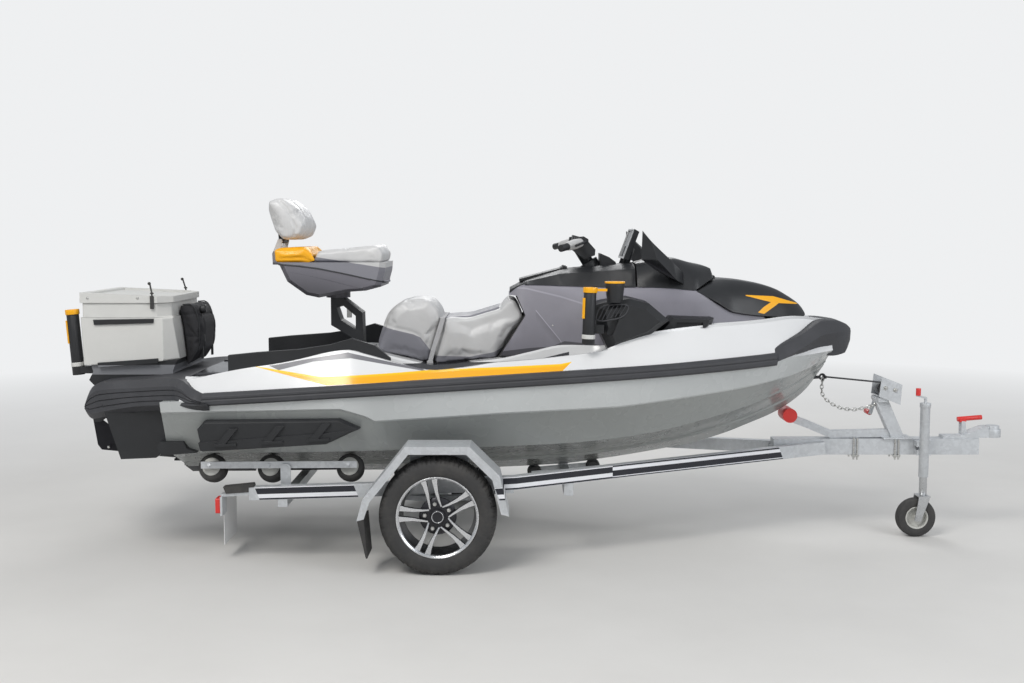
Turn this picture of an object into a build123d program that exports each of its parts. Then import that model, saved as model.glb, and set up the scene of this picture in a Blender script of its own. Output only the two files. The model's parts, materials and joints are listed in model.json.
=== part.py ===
"""A fishing watercraft for three riders, with a stern cooler and a swivelling chair, standing on
its galvanised single-axle trailer. Millimetres, +X towards the bow, +Y to port, +Z up.
The origin is on the floor, at the middle of the overall length and width."""

import math
import os

from build123d import *

os.makedirs("parts", exist_ok=True)

# Clearances
SEAT_GAP = 0.3  # between pieces of different bodies, and under what rests on the trailer
SWING_GAP = 8.0  # round what swings
SHAFT_FIT = 0.05  # round shafts and pins

# Hull and deck
BOND_Z = 861.0  # height at X = 0 of the line where the deck moulding meets the hull
BOND_SLOPE = 0.063
TRANSOM_X = -1790.0
DECK_REAR_X = TRANSOM_X + 90.0
BOW_X = 1400.0
SIDE_STEP_Y = 9.0  # the upper side panel stands this proud of the lower one
SIDE_STEP_Z = 8.0
# A lifting strake's inner edge, outer edge and back, in shares of the chine's width
STRAKE = (0.36, 0.42, 0.43)
RAIL_PROUD = 16.0
RAIL_HEIGHT = 58.0

# Hull stations: x, sheer_y, keel_z, chine_y, chine_z, side_y, side_z
HULL = [
    (TRANSOM_X, 585, 312, 465, 500, 560, 690),
    (-1200, 612, 316, 488, 506, 588, 702),
    (-540, 622, 325, 500, 525, 598, 690),
    (60, 618, 350, 485, 548, 590, 712),
    (300, 606, 381, 455, 566, 574, 724),
    (520, 582, 417, 418, 596, 543, 746),
    (735, 532, 460, 362, 640, 485, 772),
    (900, 482, 508, 306, 678, 432, 792),
    (1029, 430, 560, 250, 714, 375, 812),
    (1130, 377, 603, 203, 748, 321, 830),
    (1211, 325, 648, 160, 778, 265, 848),
    (1310, 255, 728, 104, 828, 188, 878),
    (BOW_X, 180, 850, 50, 885, 105, 915),
]

# Deck stations: x, edge_y, edge_z, floor_y, floor_z, tunnel_y, tunnel_z
DECK = [
    (DECK_REAR_X, 500, 838, 455, 846, 280, 847),
    (-1437, 502, 893, 440, 848, 280, 850),
    (-1250, 503, 921, 430, 850, 270, 852),
    (-1200, 503, 931, 430, 852, 265, 925),
    (-934, 505, 982, 425, 856, 262, 948),
    (-850, 508, 962, 425, 858, 262, 946),
    (-700, 514, 921, 432, 861, 262, 914),
    (-540, 520, 889, 440, 864, 262, 884),
    (-400, 521, 902, 440, 866, 262, 896),
    (-240, 520, 926, 440, 868, 262, 915),
    (-90, 519, 938, 440, 876, 280, 950),
    (60, 515, 953, 440, 890, 300, 985),
    (294, 505, 988, 485, 989, 330, 1000),
    (472, 480, 1050, 462, 1052, 300, 1055),
    (735, 402, 1078, 390, 1080, 270, 1085),
    (900, 340, 1086, 330, 1087, 226, 1091),
    (1029, 280, 1092, 270, 1094, 180, 1098),
    (1211, 180, 1106, 172, 1108, 110, 1110),
    (BOW_X, 95, 1085, 88, 1087, 50, 1089),
]

# Stern platform stations: x behind the transom, half_width, bottom_z, top_z
PLATFORM = [
    (-417, 385, 662, 742),
    (-388, 405, 640, 788),
    (-317, 452, 655, 822),
    (-110, 500, 690, 838),
    (48, 545, 700, 850),
    (88, 582, 704, 846),
    (150, 606, 707, 805),
    (230, 622, 711, 776),
]

# Bow bumper stations: x, half_width, bottom_z, top_z, share of the height where the crease runs
BOW_BUMPER = [
    (1022, 448, 889, 960, 0.20),
    (1120, 397, 896, 1000, 0.38),
    (1211, 345, 905, 1037, 0.52),
    (1351, 232, 922, 1098, 0.62),
    (1420, 165, 916, 1094, 0.66),
    (1490, 95, 925, 1072, 0.70),
    (1528, 30, 985, 1046, 0.74),
]

# Grey console sides: x, base_y, waist_y, waist_z
FAIRING = [
    (-236, 252, 178, 1185),
    (-105, 266, 205, 1272),
    (60, 290, 225, 1268),
    (294, 330, 236, 1262),
    (472, 312, 255, 1262),
    (706, 286, 268, 1247),
    (815, 262, 248, 1186),
    (900, 236, 222, 1141),
    (1029, 190, 180, 1121),
    (1064, 176, 168, 1117),
]
FAIRING_BASE_Z = 930.0
FAIRING_SILL_Z = 1010.0  # below it the sides stand upright

# Black top of the console: x, foot_y, foot_z, crown_y, crown_z
SPINE = [
    (-186, 120, 1226, 90, 1247),
    (-105, 205, 1272.3, 110, 1290),
    (60, 225, 1268.3, 118, 1340),
    (294, 236, 1262.3, 125, 1362),
    (423, 250, 1262.3, 140, 1372),
]
STORAGE_LID = [
    (431, 250, 1262.3, 140, 1372),
    (472, 255, 1262.3, 152, 1382),
    (520, 257, 1260.3, 165, 1392),
    (600, 260, 1255.3, 168, 1398),
    (706, 268, 1247.3, 160, 1374),
    (797, 205, 1247.3, 146, 1350),
    (812, 200, 1247.3, 142, 1311),
]
NOSE = [
    (706, 270, 1247.3, 200, 1262),
    (819, 262, 1186.3, 142, 1297),
    (900, 238, 1141.3, 130, 1293),
    (1029, 194, 1121.3, 104, 1274),
    (1130, 150, 1112, 78, 1246),
    (1211, 112, 1108, 54, 1203),
    (1270, 66, 1106, 34, 1160),
    (1294, 40, 1112, 22, 1128),
]

# Jet pump
PUMP_Z = 440.0
PUMP_RADIUS = 88.0
PUMP_WALL = 8.0
PUMP_OVERHANG = 40.0
TUNNEL_HALF_WIDTH = 130.0
TUNNEL_TOP_Z = 560.0
TUNNEL_LENGTH = 330.0
NOZZLE_PIVOT_X = TRANSOM_X - 90.0
NOZZLE_PIN_RADIUS = 9.0
BUCKET_PIVOT_X = TRANSOM_X - 60.0
BUCKET_PIN_RADIUS = 7.0

# Trailer wheels
WHEEL_X = -505.0
WHEEL_RADIUS = 264.0
WHEEL_WIDTH = 165.0
WHEEL_Y = 735.0
RIM_RADIUS = 180.0
AXLE_RADIUS = 20.0
AXLE_SIZE = 60.0
AXLE_Z = 264.0  # of the axle beam, which carries the wheels' stubs on end plates
AXLE_HALF_LENGTH = 622.0

# Trailer frame
RAIL_WIDTH = 42.0
RAIL_DEPTH = 62.0
DRAWBAR_SIZE = 80.0
DRAWBAR_Z = 445.0
DRAWBAR_X = (1150.0, 2190.0)

# Jockey wheel
JOCKEY_X = 1892.0
JOCKEY_Y = -96.0
JOCKEY_RADIUS = 98.0
JOCKEY_TRAIL = 34.0
JOCKEY_TUBE_RADIUS = 24.0
JOCKEY_LEG_RADIUS = 19.0
JOCKEY_TUBE_Z = (291.0, 670.0)
JOCKEY_LIFT = 85.0

# Engine
ENGINE_X = (-560.0, 40.0)
ENGINE_HALF_WIDTH = 200.0
ENGINE_Z = (462.0, 760.0)
ENGINE_ROOM = 35.0

# Cooler
COOLER_X = (TRANSOM_X - 454.0, TRANSOM_X - 22.0)
COOLER_HALF_WIDTH = 300.0
COOLER_WALL = 34.0
COOLER_Z = (888.0, 1188.0)
COOLER_SHOULDER_Z = 1118.0
COOLER_NECK = 8.0  # the neck above the shoulder is set in by this much
COOLER_LID_HEIGHT = 44.0
COOLER_CORNER = 62.0  # chamfer of the two front corners

pieces = {}


def interpolate(table, x, column):
    """A column of a station table at x, in straight lines between stations."""
    rows = sorted(table)
    for low, high in zip(rows, rows[1:]):
        if x <= high[0]:
            share = (x - low[0]) / (high[0] - low[0])
            return low[column] + share * (high[column] - low[column])
    return rows[-1][column]


def bond_z(x):
    return BOND_Z + BOND_SLOPE * x


def hull_bottom_z(x, y):
    """Height of the hull's V bottom at x and distance y from the keel line."""
    keel, chine_y, chine_z = (interpolate(HULL, x, column) for column in (2, 3, 4))
    return keel + (chine_z - keel) * abs(y) / chine_y


def stations(rows):
    """A body lofted in straight lines through closed sections square to X. Each row is x and the
    half outline from the bottom to the top, which is mirrored to the other side."""
    with BuildPart() as body:
        for x, half in rows:
            other = [(-y, z) for y, z in reversed(half) if y > 0]
            with BuildSketch(Plane((x, 0, 0), x_dir=(0, 1, 0), z_dir=(1, 0, 0))):
                with BuildLine():
                    Polyline(*half, *other, close=True)
                make_face()
        loft(ruled=True)
    return body.part


def side_plane(y):
    """A sketch plane square to Y, with X to the right and Z up."""
    return Plane((0, y, 0), x_dir=(1, 0, 0), z_dir=(0, -1, 0))


def prism(points, y_low, y_high):
    """A side-view outline in X and Z, from y_low to y_high."""
    with BuildPart() as body:
        with BuildSketch(side_plane(y_high)):
            with BuildLine():
                Polyline(*points, close=True)
            make_face()
        extrude(amount=y_high - y_low)
    return body.part


def across(*sections):
    """A body lofted in straight lines through side-view outlines, each given as y and its points."""
    with BuildPart() as body:
        for y, points in sections:
            with BuildSketch(side_plane(y)):
                with BuildLine():
                    Polyline(*points, close=True)
                make_face()
        loft(ruled=True)
    return body.part


def block(x_low, x_high, y_low, y_high, z_low, z_high):
    with BuildPart() as body:
        with Locations(((x_low + x_high) / 2, (y_low + y_high) / 2, (z_low + z_high) / 2)):
            Box(x_high - x_low, y_high - y_low, z_high - z_low)
    return body.part


def rod(start, end, radius, bore=0.0):
    """A round bar or tube from one point to another."""
    axis = Vector(*end) - Vector(*start)
    with BuildPart() as body:
        with BuildSketch(Plane(start, z_dir=tuple(axis))):
            Circle(radius)
            if bore:
                Circle(bore, mode=Mode.SUBTRACT)
        extrude(amount=axis.length)
    return body.part


def turned(origin, axis, profile):
    """A profile of (distance along the axis, radius) points, turned about the axis."""
    upward = Vector(0, 1, 0) if axis[2] else Vector(0, 0, 1)
    with BuildPart() as body:
        plane = Plane(origin, x_dir=axis, z_dir=tuple(Vector(*axis).cross(upward)))
        with BuildSketch(plane):
            with BuildLine():
                Polyline(*profile, close=True)
            make_face()
        revolve(axis=Axis(origin, axis))
    return body.part


def beam(points, width, depth):
    """A rectangular tube's outer form along a mitred path."""
    with BuildPart() as body:
        with BuildLine() as path:
            Polyline(*points)
        start = Vector(*points[0])
        with BuildSketch(Plane(start, x_dir=(0, 0, 1), z_dir=tuple(Vector(*points[1]) - start))):
            Rectangle(depth, width)
        sweep(path=path.wires()[0], transition=Transition.RIGHT)
    return body.part


def less(piece, *others):
    """A piece cut back where others already are."""
    with BuildPart() as body:
        add(piece)
        for other in others:
            add(other, mode=Mode.SUBTRACT)
    return body.part


def bar_across(x, z, y_low, y_high, radius):
    """A round bar along Y."""
    return rod((x, y_low, z), (x, y_high, z), radius)


# Hull moulding

hull_rows = []
for x, sheer_y, keel_z, chine_y, chine_z, side_y, side_z in HULL:
    inner, outer, back = (share * chine_y for share in STRAKE)
    half = [
        (0, keel_z),
        (inner, hull_bottom_z(x, inner)),
        (outer, hull_bottom_z(x, inner)),
        (back, hull_bottom_z(x, back)),
        (chine_y, chine_z),
        (side_y, side_z),
        (side_y + SIDE_STEP_Y, side_z + SIDE_STEP_Z),
        (sheer_y, bond_z(x)),
        (0, bond_z(x)),
    ]
    hull_rows.append((x, half))

INTAKE_HALF_WIDTH = 85.0
intake_x = (TRANSOM_X + TUNNEL_LENGTH, -1000.0)
with BuildPart() as hull:
    add(stations(hull_rows))
    tunnel_y = (-TUNNEL_HALF_WIDTH, TUNNEL_HALF_WIDTH)
    add(block(TRANSOM_X - 10, intake_x[0], *tunnel_y, 250, TUNNEL_TOP_Z), mode=Mode.SUBTRACT)
    duct = [(intake_x[0] - 5, PUMP_Z + 78), (intake_x[0] - 5, 250), (intake_x[1] + 40, 250), (intake_x[1], 330)]
    add(prism(duct, -INTAKE_HALF_WIDTH, INTAKE_HALF_WIDTH), mode=Mode.SUBTRACT)
    room_x = (ENGINE_X[0] - ENGINE_ROOM, ENGINE_X[1] + ENGINE_ROOM)
    room_y = ENGINE_HALF_WIDTH + ENGINE_ROOM
    add(block(*room_x, -room_y, room_y, ENGINE_Z[0], ENGINE_Z[1] + ENGINE_ROOM), mode=Mode.SUBTRACT)
pieces["hull"] = hull

# Deck moulding, with a footwell on each side of the tunnel that carries the seats

deck_rows = []
for x, edge_y, edge_z, floor_y, floor_z, tunnel_y, tunnel_z in DECK:
    rim = 0.42 * (edge_y - floor_y)
    half = [
        (0, bond_z(x)),
        (interpolate(HULL, x, 1), bond_z(x)),
        (edge_y, edge_z),
        (edge_y - rim, edge_z - 1),
        (floor_y, floor_z),
        (tunnel_y + 12, floor_z + 0.5),
        (tunnel_y, tunnel_z),
        (0, tunnel_z + 3),
    ]
    deck_rows.append((x, half))

BIN_X = (470.0, 690.0)
BIN_HALF_WIDTH = 185.0
BIN_FLOOR_Z = 960.0
bin_space = block(*BIN_X, -BIN_HALF_WIDTH, BIN_HALF_WIDTH, BIN_FLOOR_Z, 1400)
with BuildPart() as deck:
    add(stations(deck_rows))
    add(bin_space, mode=Mode.SUBTRACT)
pieces["deck"] = deck

# Rub rail along the joint, stern platform and bow bumper

RAIL_X = (TRANSOM_X + 230.0, -1200, -540, 60, 300, 520, 735, 900, 1022)
with BuildPart() as rail_side:
    for x in RAIL_X:
        outer = interpolate(HULL, x, 1) + RAIL_PROUD
        low = bond_z(x) - RAIL_HEIGHT / 2
        high = bond_z(x) + RAIL_HEIGHT / 2
        face = [(outer - 8, low), (outer, low + 10), (outer, high - 14), (outer - 16, high)]
        with BuildSketch(Plane((x, 0, 0), x_dir=(0, 1, 0), z_dir=(1, 0, 0))):
            with BuildLine():
                Polyline((outer - 60, low), *face, (outer - 60, high), close=True)
            make_face()
    loft(ruled=True)
with BuildPart() as gunwale_rail:
    add(less(rail_side.part, hull.part, deck.part))
    mirror(about=Plane.XZ)

platform_rows = []
for x, width, low, high in PLATFORM:
    side = [(width - 34, low), (width, low + 30), (width - 6, high - 34), (width - 46, high)]
    platform_rows.append((TRANSOM_X + x, [(0, low), *side, (0, high + 2)]))
with BuildPart() as stern_platform:
    add(less(stations(platform_rows), hull.part, deck.part))
pieces["stern_platform"] = stern_platform

bumper_rows = []
for x, width, low, high, crease in BOW_BUMPER:
    widest = (width, low + (high - low) * crease)
    half = [(0, low), (width * 0.74, low), widest, (width * 0.84, high), (0, high + 4)]
    bumper_rows.append((x, half))
with BuildPart() as rub_rail:
    add(less(stations(bumper_rows), hull.part, deck.part))
    add(gunwale_rail.part)
pieces["rub_rail"] = rub_rail

# Black coamings inside the bulwarks

coaming_top = [(-1497, 955), (-1370, 968), (-1164, 983), (-1024, 1004), (-920, 1034), (-813, 1001)]
coaming_outline = [(-1497, 870), *coaming_top, (-740, 940), (-740, 870)]
with BuildPart() as gunwale_caps:
    add(less(prism(coaming_outline, -480, -450), deck.part))
    mirror(about=Plane.XZ)
pieces["gunwale_caps"] = gunwale_caps

# Fittings at the transom: wedges, ladder ears, corner guards and ride plate

WEDGE_Y = (250.0, 455.0)
wedge_outline = [
    (TRANSOM_X - 310, 720),
    (TRANSOM_X - 227, 460),
    (TRANSOM_X - 61, 467),
    (TRANSOM_X, 523),
    (TRANSOM_X, 720),
]
GUARD_Y = (455.0, 520.0)
guard_outline = [(-1827, 527), (-1805, 489), (-1641, 503), (-1687, 522), (-1705, 555), (-1812, 555)]
LADDER_PIVOT = (-2222.0, 608.0)
LADDER_PIN_RADIUS = 8.0
LADDER_EAR_Y = (163.0, 177.0)
ladder_ear = [(-2238, 594), (-2206, 594), (-2120, 650), (-2120, 720), (-2160, 720), (-2238, 630)]
RIDE_PLATE_THICKNESS = 12.0
ride_plate_rows = []
for x in (TRANSOM_X - 12, intake_x[0] - 20):
    keel = hull_bottom_z(max(x, TRANSOM_X), 0)
    edge = hull_bottom_z(max(x, TRANSOM_X), TUNNEL_HALF_WIDTH)
    half = [(0, keel), (TUNNEL_HALF_WIDTH, edge), (TUNNEL_HALF_WIDTH, edge + RIDE_PLATE_THICKNESS)]
    ride_plate_rows.append((x, [*half, (0, keel + RIDE_PLATE_THICKNESS)]))
with BuildPart() as stern_fittings:
    add(less(prism(wedge_outline, -WEDGE_Y[1], -WEDGE_Y[0]), stern_platform.part))
    add(less(prism(ladder_ear, -LADDER_EAR_Y[1], -LADDER_EAR_Y[0]), stern_platform.part))
    add(less(prism(guard_outline, -GUARD_Y[1], -GUARD_Y[0]), hull.part))
    mirror(about=Plane.XZ)
    pin_end = (LADDER_PIVOT[0], LADDER_EAR_Y[0] + 4, LADDER_PIVOT[1])
    add(rod((pin_end[0], -pin_end[1], pin_end[2]), pin_end, LADDER_PIN_RADIUS))
    add(less(stations(ride_plate_rows), hull.part))

sponson_outline = [(-1618, 625), (-1583, 665), (-962, 675), (-869, 630), (-1027, 556), (-1597, 521)]
SPONSON_Y = (480.0, 592.0, 608.0)
SPONSON_FINS = (-1535.0, -1322.0, -1109.0)
SPONSON_RISE = 0.057  # of the fins' feet, towards the bow
with BuildPart() as sponsons:
    inner = [(-1240 + 0.98 * (x + 1240), 610 + 0.8 * (z - 610)) for x, z in sponson_outline]
    body = [(-SPONSON_Y[2], inner), (-SPONSON_Y[1], sponson_outline), (-SPONSON_Y[0], sponson_outline)]
    add(less(across(*body), hull.part))
    ledge = [(-1600, 528), (-1030, 560), (-905, 622), (-1010, 612), (-1609, 566)]
    add(less(prism(ledge, -616, -560), hull.part))
    for x in SPONSON_FINS:
        low = 548 + SPONSON_RISE * (x - SPONSON_FINS[0])
        add(prism([(x, low), (x + 40, low), (x + 108, low + 84), (x + 70, low + 84)], -622, -598))
        add(prism([(x, low), (x + 102, low + 5), (x + 102, low + 17), (x, low + 12)], -626, -598))
    mirror(about=Plane.XZ)
pieces["sponsons"] = sponsons

# Console sides, cut back round the nose of the driver's seat

seat_room = [(-300, 860), (-241, 912), (-108, 1123), (-150, 1218), (-192, 1222), (-300, 1240)]
fairing_rows = []
for x, base_y, waist_y, waist_z in FAIRING:
    foot = [(0, FAIRING_BASE_Z), (base_y, FAIRING_BASE_Z), (base_y, FAIRING_SILL_Z)]
    fairing_rows.append((x, [*foot, (waist_y, waist_z), (0, waist_z)]))
with BuildPart() as console_fairing:
    add(less(stations(fairing_rows), deck.part, bin_space, prism(seat_room, -300, 300)))
pieces["console_fairing"] = console_fairing


def cover_rows(table):
    """Sections of a rounded cover, from its foot up to its crown."""
    rows = []
    for x, foot_y, foot_z, crown_y, crown_z in table:
        shoulder_y = (foot_y + crown_y) / 2 + 14
        shoulder_z = foot_z + 0.78 * (crown_z - foot_z)
        side = [(foot_y, foot_z), (shoulder_y, shoulder_z), (crown_y, crown_z)]
        rows.append((x, [(0, foot_z), *side, (0, crown_z + 5)]))
    return rows


COLUMN_FOOT = (222.0, 0.0, 1352.0)
COLUMN_TILT = math.radians(32)
COLUMN_BOSS_RADIUS = 50.0
column_axis = (-math.sin(COLUMN_TILT), 0.0, math.cos(COLUMN_TILT))


def along_column(distance):
    return tuple(foot + distance * part for foot, part in zip(COLUMN_FOOT, column_axis))


GLOVE_X = (-138.0, 76.0)
GLOVE_HALF_WIDTH = 94.0
GLOVE_LID_THICKNESS = 13.0
GLOVE_SLOPE = 0.262
GLOVE_PIN_RADIUS = 4.0
GLOVE_KNUCKLE_RADIUS = 8.0
GLOVE_LUG_Y = (-86.0, 86.0)


def glove_seat_z(x):
    """Height of the glovebox lid's seat, which slopes up towards the handlebar."""
    return 1282 + GLOVE_SLOPE * (x - GLOVE_X[0])


glove_hinge = (GLOVE_X[1] + GLOVE_KNUCKLE_RADIUS, glove_seat_z(GLOVE_X[1]) + GLOVE_KNUCKLE_RADIUS + 8)
glove_pin = [(glove_hinge[0], y, glove_hinge[1]) for y in (-GLOVE_HALF_WIDTH + 14, GLOVE_HALF_WIDTH - 14)]
gauge_hood = [(264, 1350), (264, 1422), (308, 1403), (341, 1379), (345, 1350)]
with BuildPart() as console_spine:
    add(less(stations(cover_rows(SPINE)), console_fairing.part))
    lid_seat = [(x, glove_seat_z(x)) for x in (GLOVE_X[0] - 2, GLOVE_X[1] + 2)]
    lid_room = [*lid_seat, (lid_seat[1][0], 1450), (lid_seat[0][0], 1450)]
    add(prism(lid_room, -GLOVE_HALF_WIDTH - 2, GLOVE_HALF_WIDTH + 2), mode=Mode.SUBTRACT)
    glove_well = block(GLOVE_X[0] + 26, GLOVE_X[1] - 14, -70, 70, 1277, 1450)
    add(glove_well, mode=Mode.SUBTRACT)
    room = GLOVE_KNUCKLE_RADIUS + 5
    room_x = (GLOVE_X[1], glove_hinge[0] + room)
    room_floor = glove_hinge[1] - room
    add(block(*room_x, *GLOVE_LUG_Y, room_floor, 1450), mode=Mode.SUBTRACT)
    add(rod(along_column(-30), along_column(30 - SEAT_GAP), COLUMN_BOSS_RADIUS))
    add(block(*room_x, *GLOVE_LUG_Y, room_floor, 1342), mode=Mode.SUBTRACT)
    for lug_y in ((GLOVE_LUG_Y[0], GLOVE_LUG_Y[0] + 20), (GLOVE_LUG_Y[1] - 20, GLOVE_LUG_Y[1])):
        add(block(glove_hinge[0] - 6, room_x[1] + 2, *lug_y, room_floor - 4, glove_hinge[1] + 4))
    add(rod(*glove_pin, GLOVE_PIN_RADIUS))
    add(prism(gauge_hood, -72, 72))
pieces["console_spine"] = console_spine

lid_under = [(x, glove_seat_z(x) + SEAT_GAP) for x in GLOVE_X]
lid_over = [(x, z + GLOVE_LID_THICKNESS) for x, z in reversed(lid_under)]
knuckle = [(glove_hinge[0], y, glove_hinge[1]) for y in (-58, 58)]
with BuildPart() as glovebox_lid:
    add(prism([*lid_under, *lid_over], -GLOVE_HALF_WIDTH, GLOVE_HALF_WIDTH))
    add(rod(*knuckle, GLOVE_KNUCKLE_RADIUS))
    add(block(GLOVE_X[1] - 8, glove_hinge[0], -58, 58, glove_hinge[1] - 8, glove_hinge[1]))
    add(rod(*glove_pin, GLOVE_PIN_RADIUS + SHAFT_FIT), mode=Mode.SUBTRACT)
pieces["glovebox_lid"] = glovebox_lid

# Storage lid, hinged in front on the nose hood

LID_HINGE = (822.0, 1306.0)
LID_PIN_RADIUS = 4.0
LID_KNUCKLE_RADIUS = 8.0
LID_KNUCKLE_Y = (62.0, 98.0)
seam = [(690, 1238), (811, 1306)]  # the lid's slanting front edge, down to the console's waist
lid_front = [*seam, (840, 1306), (840, 1200), (690, 1200)]
hood_back = [(690, 1227), (806, 1292.5), (817, 1299), (817, 1420), (690, 1420)]
with BuildPart() as storage_lid:
    add(less(stations(cover_rows(STORAGE_LID)), prism(lid_front, -400, 400)))
    for side in (-1, 1):
        low, high = sorted(side * y for y in LID_KNUCKLE_Y)
        add(bar_across(*LID_HINGE, low, high, LID_KNUCKLE_RADIUS))
        add(block(800, LID_HINGE[0], low, high, LID_HINGE[1] + 1, LID_HINGE[1] + LID_KNUCKLE_RADIUS))
        add(bar_across(*LID_HINGE, low - 1, high + 1, LID_PIN_RADIUS + SHAFT_FIT), mode=Mode.SUBTRACT)
pieces["storage_lid"] = storage_lid

with BuildPart() as nose_hood:
    add(stations(cover_rows(NOSE)))
    add(prism(hood_back, -400, 400), mode=Mode.SUBTRACT)
    for side in (-1, 1):
        low, high = sorted((side * (LID_KNUCKLE_Y[0] - 6), side * (LID_KNUCKLE_Y[1] + 6)))
        lug_x = (LID_HINGE[0] - LID_KNUCKLE_RADIUS, LID_HINGE[0] + LID_KNUCKLE_RADIUS)
        add(bar_across(*LID_HINGE, low - 4, high + 4, LID_KNUCKLE_RADIUS))
        add(block(*lug_x, low - 4, high + 4, 1270, LID_HINGE[1]))
        add(bar_across(*LID_HINGE, low + 5, high - 5, LID_KNUCKLE_RADIUS + 5), mode=Mode.SUBTRACT)
        add(block(800, LID_HINGE[0] + 13, low + 5, high - 5, 1293, 1330), mode=Mode.SUBTRACT)
        add(bar_across(*LID_HINGE, low, high, LID_PIN_RADIUS))
    for other in (deck, console_fairing):
        add(other.part, mode=Mode.SUBTRACT)
pieces["nose_hood"] = nose_hood

# Side pods with a vent wedge in front of each

pod_top = [(209, 1186), (256, 1200), (371, 1218), (464, 1195), (557, 1117)]
pod = [*pod_top, (474, 1052), (276, 979), (219, 1098)]
POD_MIDDLE = (390, 1105)
vent = [(491, 1040), (714, 1040), (770, 1083), (784, 1121), (575, 1130)]
VENT_MIDDLE = (640, 1085)
VENT_SLOTS = [(1056, 12), (1090, 12)]  # height of the slot's middle and half its height


def shrunk(points, middle, share):
    """An outline drawn in towards a middle point."""
    return [(middle[0] + share * (x - middle[0]), middle[1] + share * (z - middle[1])) for x, z in points]


with BuildPart() as side_pods:
    body = [(-505, shrunk(pod, POD_MIDDLE, 0.72)), (-468, pod), (-240, shrunk(pod, POD_MIDDLE, 1.04))]
    add(less(across(*body), deck.part, console_fairing.part))
    add(prism([(262, 1050), (300, 1150), (330, 1150), (292, 1050)], -520, -488), mode=Mode.SUBTRACT)
    wedge = [(-404, shrunk(vent, VENT_MIDDLE, 0.8)), (-360, vent), (-230, vent)]
    add(less(across(*wedge), deck.part, console_fairing.part, nose_hood.part))
    for z, half in VENT_SLOTS:
        add(block(600, 726, -420, -392, z - half, z + half), mode=Mode.SUBTRACT)
    mirror(about=Plane.XZ)
pieces["side_pods"] = side_pods

with BuildPart() as mirrors:
    inner = [(590, 1300), (668, 1268), (655, 1330), (600, 1345)]
    middle = [(500, 1352), (610, 1298), (590, 1385), (510, 1440)]
    outer = [(432, 1398), (508, 1398), (480, 1480), (436, 1534)]
    add(across((-400, outer), (-330, middle), (-232, inner)))
    mirror(about=Plane.XZ)
    add(storage_lid.part, mode=Mode.SUBTRACT)
pieces["mirrors"] = mirrors

DISPLAY_HALF_WIDTH = 122.0
display_outline = [(374, 1396), (400, 1390), (452, 1528), (428, 1542)]
with BuildPart() as chart_display:
    add(prism(display_outline, -DISPLAY_HALF_WIDTH, DISPLAY_HALF_WIDTH))
    bracket = rod((383, 0, 1350), (416, 0, 1450), 26)
    add(less(bracket, prism(display_outline, -130, 130), console_spine.part))
pieces["chart_display"] = chart_display

# Seats

SEAT_HALF_WIDTH = 195.0
SEAT_EDGE = 24.0  # the seats' upper edges are drawn in over this width
passenger = [
    (-849, 930),
    (-788, 1109),
    (-754, 1163),
    (-710, 1192),
    (-573, 1202),
    (-528, 1150),
    (-514, 1102),
    (-583, 860),
]
driver = [
    (-575, 860),
    (-511, 1104),
    (-379, 1114),
    (-232, 1158),
    (-174, 1212),
    (-155, 1207),
    (-115, 1124),
    (-262, 890),
]


def edged(outline, side, inner, outer):
    """A body across the middle plane, with one outline out to inner and its sides' outline at outer."""
    return across((-outer, side), (-inner, outline), (inner, outline), (outer, side))


def seat(outline, middle):
    """A seat across the tunnel, with its outline drawn in at both sides."""
    return edged(outline, shrunk(outline, middle, 0.93), SEAT_HALF_WIDTH - SEAT_EDGE, SEAT_HALF_WIDTH)


with BuildPart() as passenger_seat:
    add(less(seat(passenger, (-670, 1000)), deck.part))
pieces["passenger_seat"] = passenger_seat
with BuildPart() as driver_seat:
    add(less(seat(driver, (-360, 1000)), deck.part, console_fairing.part, console_spine.part))
pieces["driver_seat"] = driver_seat
STRAP_Y = SEAT_HALF_WIDTH + 1.0
strap_leg = [(-590, 885), (-564, 885), (-498, 1112), (-524, 1112)]
with BuildPart() as strap:
    add(less(prism(strap_leg, -STRAP_Y - 3, -STRAP_Y), deck.part))
    mirror(about=Plane.XZ)
    strap_top = block(-528, -498, -STRAP_Y - 3, STRAP_Y + 3, 1108, 1112)
    add(less(strap_top, passenger_seat.part, driver_seat.part))
pieces["strap"] = strap

# Steering

POD_HALF_WIDTH = 70.0
pod_outline = [(118, 1446), (186, 1392), (238, 1412), (240, 1440), (190, 1496), (130, 1512)]
GRIP_INNER = (158.0, 262.0, 1477.0)
GRIP_OUTER = (55.0, 402.0, 1450.0)
with BuildPart() as handlebar:
    add(rod(along_column(30), along_column(110), 30))
    add(prism(pod_outline, -POD_HALF_WIDTH, POD_HALF_WIDTH))
    for side in (-1, 1):
        inner = (GRIP_INNER[0], side * GRIP_INNER[1], GRIP_INNER[2])
        outer = (GRIP_OUTER[0], side * GRIP_OUTER[1], GRIP_OUTER[2])
        add(rod((165, 0, 1455), inner, 13))
        add(rod(inner, outer, 17))
        low, high = sorted((side * 215, side * 278))
        add(prism([(120, 1466), (186, 1466), (192, 1492), (170, 1506), (126, 1502)], low, high))
        lever_tip = (125, side * 398, 1462)
        add(rod((188, side * 262, 1484), lever_tip, 6))
pieces["handlebar"] = handlebar

# Rod tubes and cups

ROD_BORE = 24.0
ROD_WALL = 5.0
ROD_PLUG = 12.0
FRONT_TUBE = [(176.0, -545.0, 1014.0), (184.0, -545.0, 1250.0)]
REAR_TUBE = [(-2276.0, -250.0, 838.0), (-2298.0, -250.0, 1130.0)]
CAP_HEIGHT = 24.0
CUP = (300.0, -508.0, 1203.0)
cup_profile = [(0, 0), (0, 36), (88, 45), (88, 40), (6, 31), (6, 0)]


def toward(start, end, distance):
    """The point at a distance from start towards end."""
    axis = Vector(*end) - Vector(*start)
    return tuple(Vector(*start) + axis.normalized() * distance)


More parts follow.
